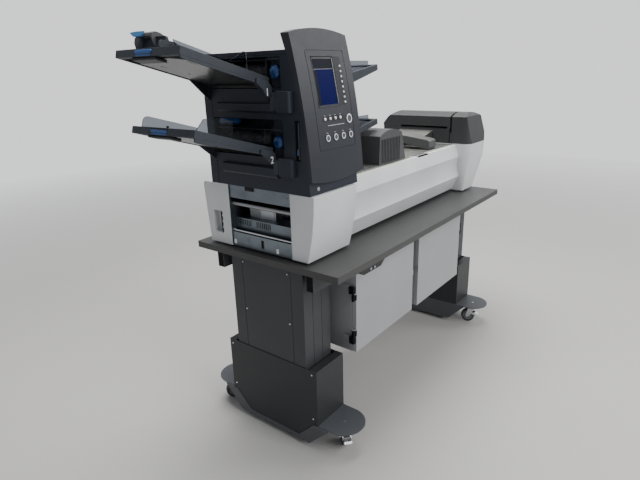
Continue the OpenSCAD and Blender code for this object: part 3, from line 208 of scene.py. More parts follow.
class Finish:
    """One procedural material, built around a Principled shader."""

    def __init__(self, name, colour, roughness, metallic=0.0, gloss=0.5):
        self.colour = colour
        self.material = bpy.data.materials.new(name)
        self.material.use_nodes = True
        self.tree = self.material.node_tree
        self.shader = self.tree.nodes["Principled BSDF"]
        self.shader.inputs["Base Color"].default_value = (*colour, 1.0)
        self.shader.inputs["Roughness"].default_value = roughness
        self.shader.inputs["Metallic"].default_value = metallic
        self.shader.inputs["Specular IOR Level"].default_value = gloss
        self.material.diffuse_color = (*colour, 1.0)

    def node(self, kind, settings=None, sockets=None, output=0):
        made = self.tree.nodes.new(kind)
        for key, value in (settings or {}).items():
            setattr(made, key, value)
        for key, value in (sockets or {}).items():
            self.plug(made.inputs[key], value)
        return Wire(self, made.outputs[output])

    def plug(self, target, value):
        if isinstance(value, Wire):
            self.tree.links.new(value.socket, target)
        else:
            target.default_value = value

    def place(self, stretch=(1.0, 1.0, 1.0)):
        """Object coordinates, stretched."""
        where = self.node("ShaderNodeTexCoord", output="Object")
        return self.node("ShaderNodeMapping", None, {"Vector": where, "Scale": stretch})

    def noise(self, where, scale, detail=3.0, rough=0.5):
        sockets = {"Vector": where, "Scale": scale, "Detail": detail, "Roughness": rough}
        return self.node("ShaderNodeTexNoise", None, sockets, "Fac")

    def blend(self, amount, first, second):
        sockets = {"Factor": amount, 6: self.flat(first), 7: self.flat(second)}
        return self.node("ShaderNodeMix", {"data_type": "RGBA"}, sockets, 2)

    def tone(self, amount, dark, pale):
        """The finish's own colour, from darker to paler."""
        return self.blend(amount, shade(self.colour, dark), shade(self.colour, pale))

    def flat(self, value):
        return value if isinstance(value, Wire) else (*value, 1.0)

    def facing(self, axis):
        """How far the surface looks along an axis, from -1 to 1."""
        normal = self.node("ShaderNodeTexCoord", output="Normal")
        return self.node("ShaderNodeSeparateXYZ", None, {"Vector": normal}, axis)

    def clamp(self, value, low, high):
        sockets = {"Value": value, "From Min": low, "From Max": high}
        return self.node("ShaderNodeMapRange", {"clamp": True}, sockets, "Result")

    def patches(self, where, scale, detail, rough, low, high):
        """Noise with its middle values spread from nothing to full."""
        return self.clamp(self.noise(where, scale, detail, rough), low, high)

    def bump(self, height, distance):
        sockets = {"Height": height, "Distance": distance, "Strength": 1.0}
        self.plug(self.shader.inputs["Normal"], self.node("ShaderNodeBump", None, sockets, "Normal"))

    def colour_in(self, value):
        self.plug(self.shader.inputs["Base Color"], value)

    def rough_in(self, value):
        self.plug(self.shader.inputs["Roughness"], value)


def shade(colour, factor):
    return tuple(min(1.0, c * factor) for c in colour)


DUST = (0.62, 0.61, 0.58)
BLOOM = (0.30, 0.29, 0.27)
# Span of one band of the wave texture at scale 1
WAVE_SPAN = 0.314


def moulded_plastic(name, colour, roughness=0.48, grain=1500.0, depth=0.00012, dust=0.10, gloss=0.32):
    """Fine-grained moulding with a cloudy tone, a little dust on top and rubbed patches."""
    finish = Finish(name, colour, roughness, gloss=gloss)
    where = finish.place()
    grains = finish.noise(where, grain, 2.0)
    rubbed = finish.noise(where, 38.0, 5.0, 0.65)
    tone = finish.tone(finish.patches(where, 5.0, 4.0, 0.5, 0.3, 0.7), 0.93, 1.07)
    dusty = finish.clamp(finish.facing("Z"), 0.55, 1.0) * rubbed * dust
    finish.colour_in(finish.blend(dusty, tone, DUST))
    finish.rough_in(roughness - 0.10 + 0.20 * rubbed)
    finish.bump(grains, depth)
    return finish.material


def powder_coat(name, colour, roughness=0.46):
    """Sprayed sheet metal: orange peel, faint tone drift and scuffs."""
    finish = Finish(name, colour, roughness, gloss=0.3)
    where = finish.place()
    peel = finish.noise(where, 420.0, 2.0)
    scuff = finish.patches(finish.place((9.0, 9.0, 90.0)), 2.2, 6.0, 0.7, 0.60, 0.78)
    tone = finish.tone(finish.patches(where, 3.0, 3.0, 0.5, 0.3, 0.7), 0.94, 1.06)
    finish.colour_in(finish.blend(scuff * 0.18, tone, shade(colour, 1.6)))
    finish.rough_in(roughness + 0.14 * scuff)
    finish.bump(peel, 0.00010)
    return finish.material


def laminate(name, colour):
    """Speckled table laminate with a painted highlight along its rounded edge."""
    finish = Finish(name, colour, 0.5, gloss=0.4)
    speck = finish.patches(finish.place(), 900.0, 2.0, 0.5, 0.42, 0.62)
    wipe = finish.noise(finish.place((1.0, 6.0, 6.0)), 4.0, 5.0, 0.6)
    up = finish.facing("Z")
    # Painted highlight: faces between the top and the sides, on the rounded edge, are lightened
    edge = finish.clamp(up, 0.15, 0.45) * finish.clamp(1.0 - up, 0.04, 0.2)
    tone = finish.tone(speck, 0.86, 1.12)
    finish.colour_in(finish.blend(edge, tone, shade(colour, 7.0)))
    finish.rough_in(0.36 + 0.16 * wipe)
    finish.bump(speck, 0.00008)
    return finish.material


def brushed_sheet(name, colour, roughness=0.36, stretch=(60.0, 1.5, 60.0), dirt=0.5):
    """Bare rolled sheet with fine lines and dull patches."""
    finish = Finish(name, colour, roughness, 1.0)
    lines = finish.noise(finish.place(stretch), 22.0, 3.0)
    dull = finish.patches(finish.place(), 14.0, 5.0, 0.6, 0.45, 0.75) * dirt
    tone = finish.tone(lines, 0.84, 1.12)
    finish.colour_in(finish.blend(dull, tone, shade(colour, 0.55)))
    finish.rough_in(roughness - 0.08 + 0.16 * lines + 0.22 * dull)
    finish.bump(lines, 0.00005)
    return finish.material


def zinc_plate(name, colour):
    """Bright zinc with faint spangles."""
    finish = Finish(name, colour, 0.28, 1.0)
    cells = finish.node("ShaderNodeTexVoronoi", None, {"Vector": finish.place(), "Scale": 260.0}, "Color")
    spangle = finish.node("ShaderNodeSeparateColor", None, {"Color": cells}, "Red")
    finish.colour_in(finish.tone(spangle, 0.82, 1.1))
    finish.rough_in(0.20 + 0.20 * spangle)
    return finish.material


def dull_rubber(name, colour, roughness=0.72, bloom=0.35, gloss=0.5):
    """Ground rubber with a dusty bloom."""
    finish = Finish(name, colour, roughness, gloss=gloss)
    where = finish.place()
    dusty = finish.patches(where, 60.0, 5.0, 0.65, 0.45, 0.8)
    finish.colour_in(finish.blend(dusty * bloom, colour, BLOOM))
    finish.bump(finish.noise(where, 2200.0, 2.0), 0.00010)
    return finish.material


def smoked_clear(name, colour):
    """Tinted see-through sheet with handling haze."""
    finish = Finish(name, colour, 0.06, gloss=0.3)
    finish.shader.inputs["Transmission Weight"].default_value = 1.0
    finish.shader.inputs["IOR"].default_value = 1.3
    haze = finish.noise(finish.place(), 24.0, 5.0, 0.65)
    finish.rough_in(0.01 + 0.07 * haze)
    finish.colour_in(finish.tone(haze, 0.92, 1.06))
    return finish.material


def hatched_sheet(name, colour, pitch=0.006, turn=40.0):
    """Bare sheet embossed with a fine crossed hatch."""
    finish = Finish(name, colour, 0.4, 1.0)
    waves = []
    for angle in (math.radians(turn), -math.radians(turn)):
        sockets = {"Vector": finish.place(), "Rotation": (0.0, 0.0, angle), "Scale": (1.0, 1.0, 0.0)}
        where = finish.node("ShaderNodeMapping", None, sockets)
        sockets = {"Vector": where, "Scale": WAVE_SPAN / pitch}
        waves.append(finish.node("ShaderNodeTexWave", {"bands_direction": "X"}, sockets, "Fac"))
    raised = finish.clamp(waves[0] * waves[1], 0.05, 0.55)
    finish.colour_in(finish.tone(raised, 0.25, 1.1))
    finish.rough_in(0.55 - 0.2 * raised)
    finish.bump(raised, 0.0006)
    return finish.material


def glossy_plastic(name, colour, roughness=0.26):
    """Smooth coloured moulding with light swirls of handling."""
    finish = Finish(name, colour, roughness)
    finish.shader.inputs["Coat Weight"].default_value = 0.2
    swirl = finish.noise(finish.place(), 240.0, 4.0, 0.6)
    finish.colour_in(finish.tone(swirl, 0.95, 1.05))
    finish.rough_in(roughness - 0.03 + 0.06 * swirl)
    return finish.material


def tray_moulding(name, colour):
    """Tray plastic, rubbed paler and smoother where paper slides."""
    finish = Finish(name, colour, 0.5, gloss=0.36)
    where = finish.place()
    worn = finish.patches(where, 30.0, 5.0, 0.65, 0.4, 0.75)
    finish.colour_in(finish.blend(worn * 0.5, colour, shade(colour, 1.35)))
    finish.rough_in(0.58 - 0.12 * worn)
    finish.bump(finish.noise(where, 1300.0, 2.0), 0.00012)
    return finish.material


def lit_screen(name, colour):
    """Liquid crystal screen with faint pixel rows."""
    finish = Finish(name, shade(colour, 0.4), 0.3, gloss=0.03)
    rows = finish.patches(finish.place((0.2, 1.0, 1.0)), 1400.0, 1.0, 0.5, 0.35, 0.65)
    glow = finish.noise(finish.place(), 9.0, 2.0)
    lit = finish.blend(rows * 0.35 + glow * 0.3, shade(colour, 0.75), shade(colour, 1.5))
    finish.plug(finish.shader.inputs["Emission Color"], lit)
    finish.shader.inputs["Emission Strength"].default_value = 0.16
    return finish.material


FINISHES = {}


def mix_finishes(colours):
    """Makes every material once from the panel's colours."""
    FINISHES.update({
        "column": powder_coat("column_paint", colours.column),
        "shroud": powder_coat("shroud_paint", shade(colours.column, 0.64)),
        # Feet: a paler copy of the column paint, painted light on the soles that sit in the table's shadow
        "sole": powder_coat("sole_paint_lit", shade(colours.column, 1.75)),
        "frame": powder_coat("frame_paint", shade(colours.column, 1.15)),
        # Cabinets: a darker copy of the door paint, painted shade on their sides
        "cabinet": powder_coat("cabinet_paint", shade(colours.cabinet, 0.88), 0.42),
        "door": powder_coat("door_paint", colours.cabinet, 0.42),
        # Near black: the rubber of the plugs and hinges, and painted shade in the hood's grooves, the finger
        # notch and the exit slot
        "void": dull_rubber("black_rubber_and_painted_shade", (0.0035, 0.0035, 0.004), 0.8, 0.01, 0.2),
        "laminate": laminate("table_laminate", colours.table),
        "zinc": zinc_plate("bright_zinc", (0.74, 0.75, 0.77)),
        "tread": dull_rubber("wheel_tread", (0.030, 0.030, 0.032)),
        "hub": moulded_plastic("wheel_hub", (0.16, 0.165, 0.17), 0.42),
        "sheet": brushed_sheet("chassis_sheet", (0.225, 0.262, 0.290)),
        "alloy": brushed_sheet("motor_alloy", (0.60, 0.62, 0.64), 0.42, (8.0, 60.0, 8.0), 0.3),
        "steel": brushed_sheet("bright_steel", (0.78, 0.79, 0.80), 0.22, (60.0, 2.0, 60.0), 0.15),
        "white": moulded_plastic("cover_white", colours.cover, 0.44, 1100.0, 0.00008, 0.05),
        "tower": moulded_plastic("tower_dark", colours.tower, 0.42),
        "fascia": moulded_plastic("fascia_dark", colours.fascia, 0.42, gloss=0.36),
        "cap": moulded_plastic("cap_dark", colours.cap, 0.5),
        "hood": moulded_plastic("hood_dark", shade(colours.cap, 1.75), 0.5),
        "tray": tray_moulding("tray_dark", (0.031, 0.037, 0.046)),
        "tray_pan": glossy_plastic("tray_pan_gloss", (0.060, 0.060, 0.058), 0.24),
        "black": moulded_plastic("trim_black", (0.012, 0.012, 0.014), 0.4),
        "roller": dull_rubber("roller_rubber", (0.035, 0.036, 0.038), 0.62),
        "shaft": brushed_sheet("shaft_grey", (0.36, 0.37, 0.38), 0.34, (60.0, 2.0, 60.0), 0.2),
        "blue": glossy_plastic("accent_blue", colours.accent),
        "silver": glossy_plastic("key_silver", (0.70, 0.73, 0.75), 0.2),
        "dish": glossy_plastic("key_dish", (0.085, 0.09, 0.097), 0.24),
        # Pale grey of the painted highlights on the display's right wall and over its screen
        "rim": glossy_plastic("display_rim", (0.15, 0.155, 0.165), 0.3),
        "dim": moulded_plastic("screen_dim", (0.004, 0.006, 0.013), 0.35, 1500.0, 0.00002, 0.0, 0.06),
        "strip": moulded_plastic("key_strip", shade(colours.fascia, 0.7), 0.5),
        "key_white": glossy_plastic("key_white", (0.82, 0.84, 0.85), 0.3),
        "smoke": smoked_clear("guide_smoke", (0.62, 0.66, 0.71)),
        "hatch": hatched_sheet("hatched_steel", (0.46, 0.47, 0.46)),
        # Knobs: a darker copy of the accent, for their own deeper blue and for painted shade where they sit
        # recessed
        "knob": glossy_plastic("knob_blue", shade(colours.accent, 0.55), 0.18),
        "screen": lit_screen("screen_lit", (0.001, 0.003, 0.115)),
        "flag": moulded_plastic("flag_blue", (0.07, 0.23, 0.46), 0.4, 1500.0, 0.00006, 0.0),
        "glass": glossy_plastic("screen_surround", (0.016, 0.020, 0.032), 0.14),
        "deck": brushed_sheet("deck_sheet", (0.50, 0.50, 0.465), 0.36, (1.5, 60.0, 60.0), 0.25),
        "trim": moulded_plastic("trim_ivory", (0.78, 0.77, 0.70), 0.4, 1100.0, 0.00006, 0.03),
        "mark": moulded_plastic("mark_pale", (0.66, 0.68, 0.69), 0.5),
    })


# Meshes

def linked(name, mesh, material):
    """Object for a mesh, painted and put into the scene."""
    made = bpy.data.objects.new(name, mesh)
    bpy.context.scene.collection.objects.link(made)
    mesh.materials.append(material)
    return made


def even_normals(thing):
    """Keeps large faces flat beside their rounded edges."""
    flats = thing.modifiers.new("flats", "WEIGHTED_NORMAL")
    flats.keep_sharp = True


class Shape:
    """Mesh of one piece, drawn in the millimetres of a frame."""

    def __init__(self, at=None):
        self.bm = bmesh.new()
        self.at = at or table_frame()

    def soften(self, edges, soft, segments=2):
        bmesh.ops.bevel(
            self.bm, geom=list(dict.fromkeys(edges)), offset=soft * MM, segments=segments, profile=0.5,
            affect="EDGES", clamp_overlap=True, material=-1,
        )

    def block(self, low, high, soft=0.0, segments=2, at=None):
        """Box between two corners with softened edges."""
        low, high = Vector(low), Vector(high)
        made = bmesh.ops.create_cube(self.bm, size=1.0)["verts"]
        bmesh.ops.scale(self.bm, vec=high - low, verts=made)
        bmesh.ops.translate(self.bm, vec=(low + high) / 2, verts=made)
        bmesh.ops.transform(self.bm, matrix=at or self.at, verts=made)
        if soft:
            self.soften([edge for vert in made for edge in vert.link_edges], soft, segments)

    def lathe(self, profile, at=None, steps=28):
        """Turned shape from (radius, height) pairs about z; ends on the axis close it."""
        before = set(self.bm.verts)
        verts = [self.bm.verts.new((r, 0.0, h)) for r, h in profile]
        edges = [self.bm.edges.new(pair) for pair in zip(verts, verts[1:])]
        bmesh.ops.spin(
            self.bm, geom=verts + edges, cent=(0, 0, 0), axis=(0, 0, 1), angle=2 * math.pi, steps=steps,
            use_merge=True,
        )
        made = [vert for vert in self.bm.verts if vert not in before]
        bmesh.ops.remove_doubles(self.bm, verts=made, dist=1e-4)
        made = [vert for vert in self.bm.verts if vert not in before]
        bmesh.ops.transform(self.bm, matrix=at or self.at, verts=made)

    def prism(self, outline, y, soft=0.0, at=None):
        """Plate cut to an x-z outline between two y values."""
        verts = [self.bm.verts.new((x, y[0], z)) for x, z in outline]
        face = self.bm.faces.new(verts)
        pushed = bmesh.ops.extrude_face_region(self.bm, geom=[face])["geom"]
        moved = [item for item in pushed if isinstance(item, bmesh.types.BMVert)]
        bmesh.ops.translate(self.bm, vec=(0, y[1] - y[0], 0), verts=moved)
        bmesh.ops.transform(self.bm, matrix=at or self.at, verts=verts + moved)
        if soft:
            self.soften([edge for vert in verts + moved for edge in vert.link_edges], soft)

    def rod(self, start, end, radius, sides=20, soft=0.0, at=None):
        """Round or many-sided bar between two points."""
        start, end = Vector(start), Vector(end)
        length = (end - start).length
        made = bmesh.ops.create_cone(
            self.bm, cap_ends=True, segments=sides, radius1=radius, radius2=radius, depth=length
        )["verts"]
        turn = (end - start).to_track_quat("Z", "Y").to_matrix().to_4x4()
        middle = Matrix.Translation((start + end) / 2)
        bmesh.ops.transform(self.bm, matrix=(at or self.at) @ middle @ turn, verts=made)
        if soft:
            rims = [edge for vert in made for edge in vert.link_edges
                    if any(len(face.verts) > 4 for face in edge.link_faces)]
            self.soften(rims, soft)

    def slope(self, first, second, start, end):
        """Four-sided rim from a rectangle at one height to a rectangle at another."""
        loops = []
        for (half_w, half_h), z in ((first, start), (second, end)):
            corners = [(-half_w, -half_h), (half_w, -half_h), (half_w, half_h), (-half_w, half_h)]
            verts = [self.bm.verts.new((x, y, z)) for x, y in corners]
            loops.append([self.bm.edges.new((verts[i], verts[(i + 1) % 4])) for i in range(4)])
        made = list({vert for loop in loops for edge in loop for vert in edge.verts})
        bmesh.ops.bridge_loops(self.bm, edges=loops[0] + loops[1])
        bmesh.ops.transform(self.bm, matrix=self.at, verts=made)

    def screw(self, at, radius, height):
        """Pan-head screw with a socket."""
        head = [(0, 0.35), (0.38, 0.35), (0.42, 0.92), (0.75, 0.9), (0.96, 0.45), (1, 0)]
        profile = [(radius * r, height * h) for r, h in head]
        self.lathe(profile + [(radius * 0.6, -0.4)], at, 18)

    def done(self, name, finish, body="carriage", smooth=35.0):
        """Turns the mesh into a finished object that rides on a body."""
        bmesh.ops.recalc_face_normals(self.bm, faces=self.bm.faces)
        mesh = bpy.data.meshes.new(name)
        self.bm.to_mesh(mesh)
        self.bm.free()
        mesh.shade_smooth()
        mesh.set_sharp_from_angle(angle=math.radians(smooth))
        made = linked(name, mesh, FINISHES[finish])
        even_normals(made)
        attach(made, body)
        return made


# Settings

def tint(name, description, default):
    return FloatVectorProperty(
        name=name, description=description, subtype="COLOR", min=0, max=1, default=default)


def small_size(name, description, default, low, high):
    return FloatProperty(
        name=name, description=f"{description} in millimetres", default=default, min=low, max=high)


class InserterColours(PropertyGroup):
    """Colours of the main finishes."""

    column: tint("Columns", "Powder coat of the columns and feet", (0.043, 0.046, 0.050))
    cabinet: tint("Cabinets", "Powder coat of the cabinets and doors", (0.33, 0.335, 0.345))
    table: tint("Table top", "Laminate of the table top", (0.050, 0.050, 0.049))
    cover: tint("Covers", "Pale covers of the machine", (0.60, 0.62, 0.625))
    tower: tint("Tower", "Dark moulding of the feeder tower", (0.0205, 0.0250, 0.0350))
    fascia: tint("Fascia", "Dark moulding of the control fascia", (0.0255, 0.0280, 0.0345))
    cap: tint("Exit cap", "Dark moulding of the exit's lid, its cap and the hood", (0.0405, 0.0415, 0.0425))
    accent: tint("Accent", "Touch points for the user's hands", (0.009, 0.076, 0.26))


class InserterSizes(PropertyGroup):
    """Sizes of the small fittings."""

    screw_radius: small_size("Screw head", "Radius of the panel screws", 3.3, 2, 8)
    edge: small_size("Edge softness", "Rounding of the moulded covers", 3.0, 0.5, 6)
    sheet_edge: small_size("Sheet edge", "Rounding of folded sheet edges", 1.2, 0.3, 3)
    table_edge: small_size("Table edge", "Rounding of the table top", 2.2, 0.5, 6)
    vent_slots: IntProperty(
        name="Vent slots", description="Slots in each vent of the back", default=14, min=4, max=30)
    floor_size: FloatProperty(
        name="Floor", description="Size of the studio floor", default=16.0, min=10, max=100, unit="LENGTH")


# Solids by finish, and those whose edges are rounded

CABINETS = ["cabinet_left", "cabinet_right"]
DOORS = ["door_left", "door_right"]
PALE_COVERS = ["base_front_cover", "base_rear_cover", "front_panel", "rear_panel", "exit_base"]
TRAY_PARTS = [*(f"tray_{name}" for name in TRAYS), "paper_stop"]
LATCHES = [f"tray_latch_{level}" for level in LEVELS]
NODE_FINISH = {
    "column": ["sleeves"],
    "shroud": ["shrouds"],
    "sole": ["foot_left", "foot_right"],
    "frame": ["table_frame"],
    "laminate": ["table_top"],
    "cabinet": CABINETS,
    "door": DOORS,
    "black": ["lift_control", "key_mat"],
    "hub": ["lift_up_key", "lift_down_key"],
    "glass": ["display"],
    "dish": ["start_key", *(f"mode_key_{i + 1}" for i in range(MODE_KEYS))],
    "zinc": [f"caster_fork_{i}" for i in CASTERS],
    "tread": [f"caster_wheel_{i}" for i in CASTERS],
    "sheet": ["base_chassis"],
    "shaft": ["fold_roller"],
    "alloy": ["drive_motor"],
    "white": PALE_COVERS,
    "tower": ["tower_shell"],
    "fascia": ["fascia"],
    "cap": ["exit_cover", "exit_cap"],
    "hood": ["envelope_hood", "guide_arm"],
    "roller": [f"feed_roller_{level}" for level in LEVELS],
    "knob": [f"separator_knob_{level}" for level in LEVELS],
    "blue": LATCHES,
    "tray": TRAY_PARTS,
    "smoke": [*(f"guide_{name}" for name in TRAYS), *(f"front_guide_{level}" for level in LEVELS)],
    "deck": ["deck"],
}
MOULDED = [*PALE_COVERS, "tower_shell", "fascia", "exit_cover", "exit_cap", "envelope_hood", "guide_arm"]
FOLDED = ["shrouds", "sleeves", *CABINETS, *DOORS, "lift_control", *TRAY_PARTS, "drive_motor", *LATCHES]


class INSERTER_OT_finish_solids(Operator):
    """Paint every solid and round off the edges of the covers"""

    bl_idname = "inserter.finish_solids"
    bl_label = "Finish the solids"

    def execute(self, context):
        mix_finishes(context.scene.inserter_colours)
        for finish, names in NODE_FINISH.items():
            for name in names:
                self.paint(frame["nodes"][name], FINISHES[finish])
        sizes = context.scene.inserter_sizes
        widths = ((MOULDED, sizes.edge), (FOLDED, sizes.sheet_edge), (["table_top"], sizes.table_edge))
        for names, width in widths:
            for name in names:
                self.soften(frame["nodes"][name], width)
        return {"FINISHED"}

    def paint(self, node, material):
        node.data.materials.clear()
        node.data.materials.append(material)

    def soften(self, node, width):
        weld = node.modifiers.new("weld", "WELD")
        weld.merge_threshold = 1e-6
        bevel = node.modifiers.new("edges", "BEVEL")
        bevel.limit_method = "ANGLE"
        bevel.angle_limit = math.radians(40)
        bevel.width = width * MM
        bevel.segments = 2
        even_normals(node)


class INSERTER_OT_column_fittings(Operator):
    """Make the rail plugs and the screws of the column panels"""

    bl_idname = "inserter.column_fittings"
    bl_label = "Column fittings"

    def execute(self, context):
        radius = context.scene.inserter_sizes.screw_radius
        self.plugs()
        self.screws("sleeve_screws", "carriage", 22.1, radius,
                    [(467, -49), (242, -51), (464, -246), (240, -250)])
        self.screws("shroud_screws", "stand_base", 19.0, radius,
                    [(142, -432), (562, -432), (142, -626), (562, -626)])
        return {"FINISHED"}

    def plugs(self):
        """Dark plugs in the open ends of the frame's two long rails."""
        rail_w, rail_h = 33, 62
        low, high = table_box("table_frame")
        top = (TABLE_LOW.z - TABLE_HIGH.z) / MM
        plugs = Shape()
        for y in (109.0, 558.0):
            for x, inner in ((low.x, 1), (high.x, -1)):
                for start, end, shrink in ((1.0, 16, 2.9), (0.3, 1.2, 5.5)):
                    near, far = sorted((x + start * inner, x + end * inner))
                    plugs.block((near, y + shrink, top - rail_h + shrink),
                                (far, y + rail_w - shrink, top - shrink), 0.6)
        plugs.done("rail_plugs", "void")

    def screws(self, name, body, inset, radius, places):
        heads = Shape()
        for y, z in places:
            for x, way in ((inset, LEFT), (TABLE_LENGTH - inset, RIGHT)):
                heads.screw(aim_frame(spot(x, y, z), way), radius, 2.2)
        heads.done(name, "zinc", body)


class INSERTER_OT_cabinet_fittings(Operator):
    """Make the black hinges and the catches of the cabinets"""

    bl_idname = "inserter.cabinet_fittings"
    bl_label = "Cabinet fittings"

    def execute(self, context):
        for side, way in (("left", -1), ("right", 1)):
            x, y, _ = JOINTS[f"door_hinge_{side}"]["pos_m"]
            at = self.mirrored(x, y, way)
            self.leaves(f"hinge_leaves_{side}", at)
            self.knuckles(f"hinge_knuckles_{side}", f"door_{side}", at)
            self.catch(f"door_catch_{side}", f"door_{side}", way)
        return {"FINISHED"}

    def mirrored(self, x, y, way):
        """Matrix in millimetres on the floor, with x away from the cabinet's hinge side."""
        return Matrix.Translation((x, y, 0)) @ Matrix.Diagonal((-way * MM, MM, MM, 1))

    def leaves(self, name, at):
        leaves = Shape(at)
        for z in (591.0, 375.0):
            leaves.block((-9.0, -7.6, z), (7.9, 17.0, z + 30.4), 3.0, 3)
            head = Matrix.Translation((-9.0, 8.0, z + 15)) @ Matrix.Rotation(-math.pi / 2, 4, "Y")
            leaves.screw(at @ head, 3.0, 1.2)
        leaves.done(name, "void")

    def knuckles(self, name, body, at):
        knuckles = Shape(at)
        for z in (560.6, 405.4):
            knuckles.block((-9.0, -7.8, z + 0.3), (3.0, 3.0, z + 29.7), 2.4, 3)
            knuckles.block((1.0, -9.6, z + 3), (11.0, -7.6, z + 27), 0.8)
        knuckles.done(name, "void", body)

    def catch(self, name, body, way):
        low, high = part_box(body)
        at = self.mirrored(high.x if way < 0 else low.x, low.y, way)
        catch = Shape(at)
        catch.block((-7.0, -1.2, 508.0), (0.0, 3.0, 534.0), 0.8)
        catch.block((-0.6, -1.2, 508.0), (0.9, 12.0, 534.0), 0.4)
        catch.screw(aim_frame(at @ Vector((-4.0, -1.2, 521.0)), FRONT), 1.8, 0.8)
        catch.done(name, "alloy", body)


class INSERTER_OT_caster_fittings(Operator):
    """Make the hubs, axle nuts, brakes and swivel races of the casters"""

    bl_idname = "inserter.caster_fittings"
    bl_label = "Caster fittings"

    def execute(self, context):
        for i in CASTERS:
            roll = JOINTS[f"caster_roll_{i}"]
            centre = Vector(roll["pos_m"])
            ends = [aim_frame(centre, Vector(roll["axis"]) * way) for way in (-1, 1)]
            self.hub(i, ends)
            self.fork(i, ends, centre, Vector(JOINTS[f"caster_swivel_{i}"]["pos_m"]))
        return {"FINISHED"}

    def hub(self, i, ends):
        spokes = 6
        hub = Shape()
        for at in ends:
            hub.lathe([(9.3, 9.4), (9.3, 11.6), (10.5, 12.2), (15.0, 12.2), (17.0, 11.0), (23.0, 10.6),
                       (25.0, 12.0), (26.6, 12.0), (26.8, 9.4)], at, 36)
            for k in range(spokes):
                turn = at @ Matrix.Rotation(k * 2 * math.pi / spokes, 4, "Z")
                hub.block((15.5, -1.6, 9.6), (24.5, 1.6, 12.0), 0.5, at=turn)
        hub.done(f"wheel_hub_{i}", "hub", f"caster_wheel_{i}")

    def fork(self, i, ends, centre, swivel):
        """Axle nuts, brake pedal with its cheeks, and the race under the sole."""
        fork = Shape()
        for at in ends:
            fork.rod((0, 0, 16.4), (0, 0, 21.6), 7.4, 6, 0.6, at)
            fork.lathe([(8.6, 16.4), (8.6, 17.4), (4.0, 17.6), (4.0, 22.6), (0, 23.2)], at, 20)
        foot = Vector((swivel.x, swivel.y, 0))
        ahead = foot - centre
        pedal = millimetres(foot, Matrix.Rotation(math.atan2(ahead.y, ahead.x), 3, "Z"))
        fork.prism([(16, 50), (38, 40), (40, 43), (34, 50), (17, 58)], (-16, 16), 1.0, pedal)
        for y in (-17.6, 14.6):
            fork.prism([(-10, 62), (14, 62), (20, 54), (18, 46), (-6, 52)], (y, y + 3), 0.6, pedal)
        race = [(24.0, 99.6), (25.6, 98.8), (26.2, 96.6), (25.6, 94.4), (24.0, 93.6)]
        fork.lathe(race, millimetres(foot), 36)
        fork.done(f"axle_nuts_{i}", "zinc", f"caster_fork_{i}")


class INSERTER_OT_lift_marks(Operator):
    """Make the arrows on the two lift keys and the rims around them"""

    bl_idname = "inserter.lift_marks"
    bl_label = "Lift key marks"

    def execute(self, context):
        key_stands_out = 1.2
        rims = Shape()
        for key, tip in (("up", 1), ("down", -1)):
            front = low_middle(f"lift_{key}_key", 1)
            arrow = Shape(millimetres(front))
            arrow.prism([(-2.6, -1.8 * tip), (2.6, -1.8 * tip), (0, 2.4 * tip)], (0.0, -0.5))
            arrow.done(f"lift_{key}_arrow", "mark", f"lift_{key}_key")
            seat = aim_frame(front + Vector(BACK) * key_stands_out * MM, FRONT)
            rims.lathe([(5.9, -0.2), (5.9, 0.5), (6.6, 0.8), (7.4, 0.3), (7.5, -0.2)], seat, 32)
        rims.done("lift_key_rims", "frame")
        return {"FINISHED"}


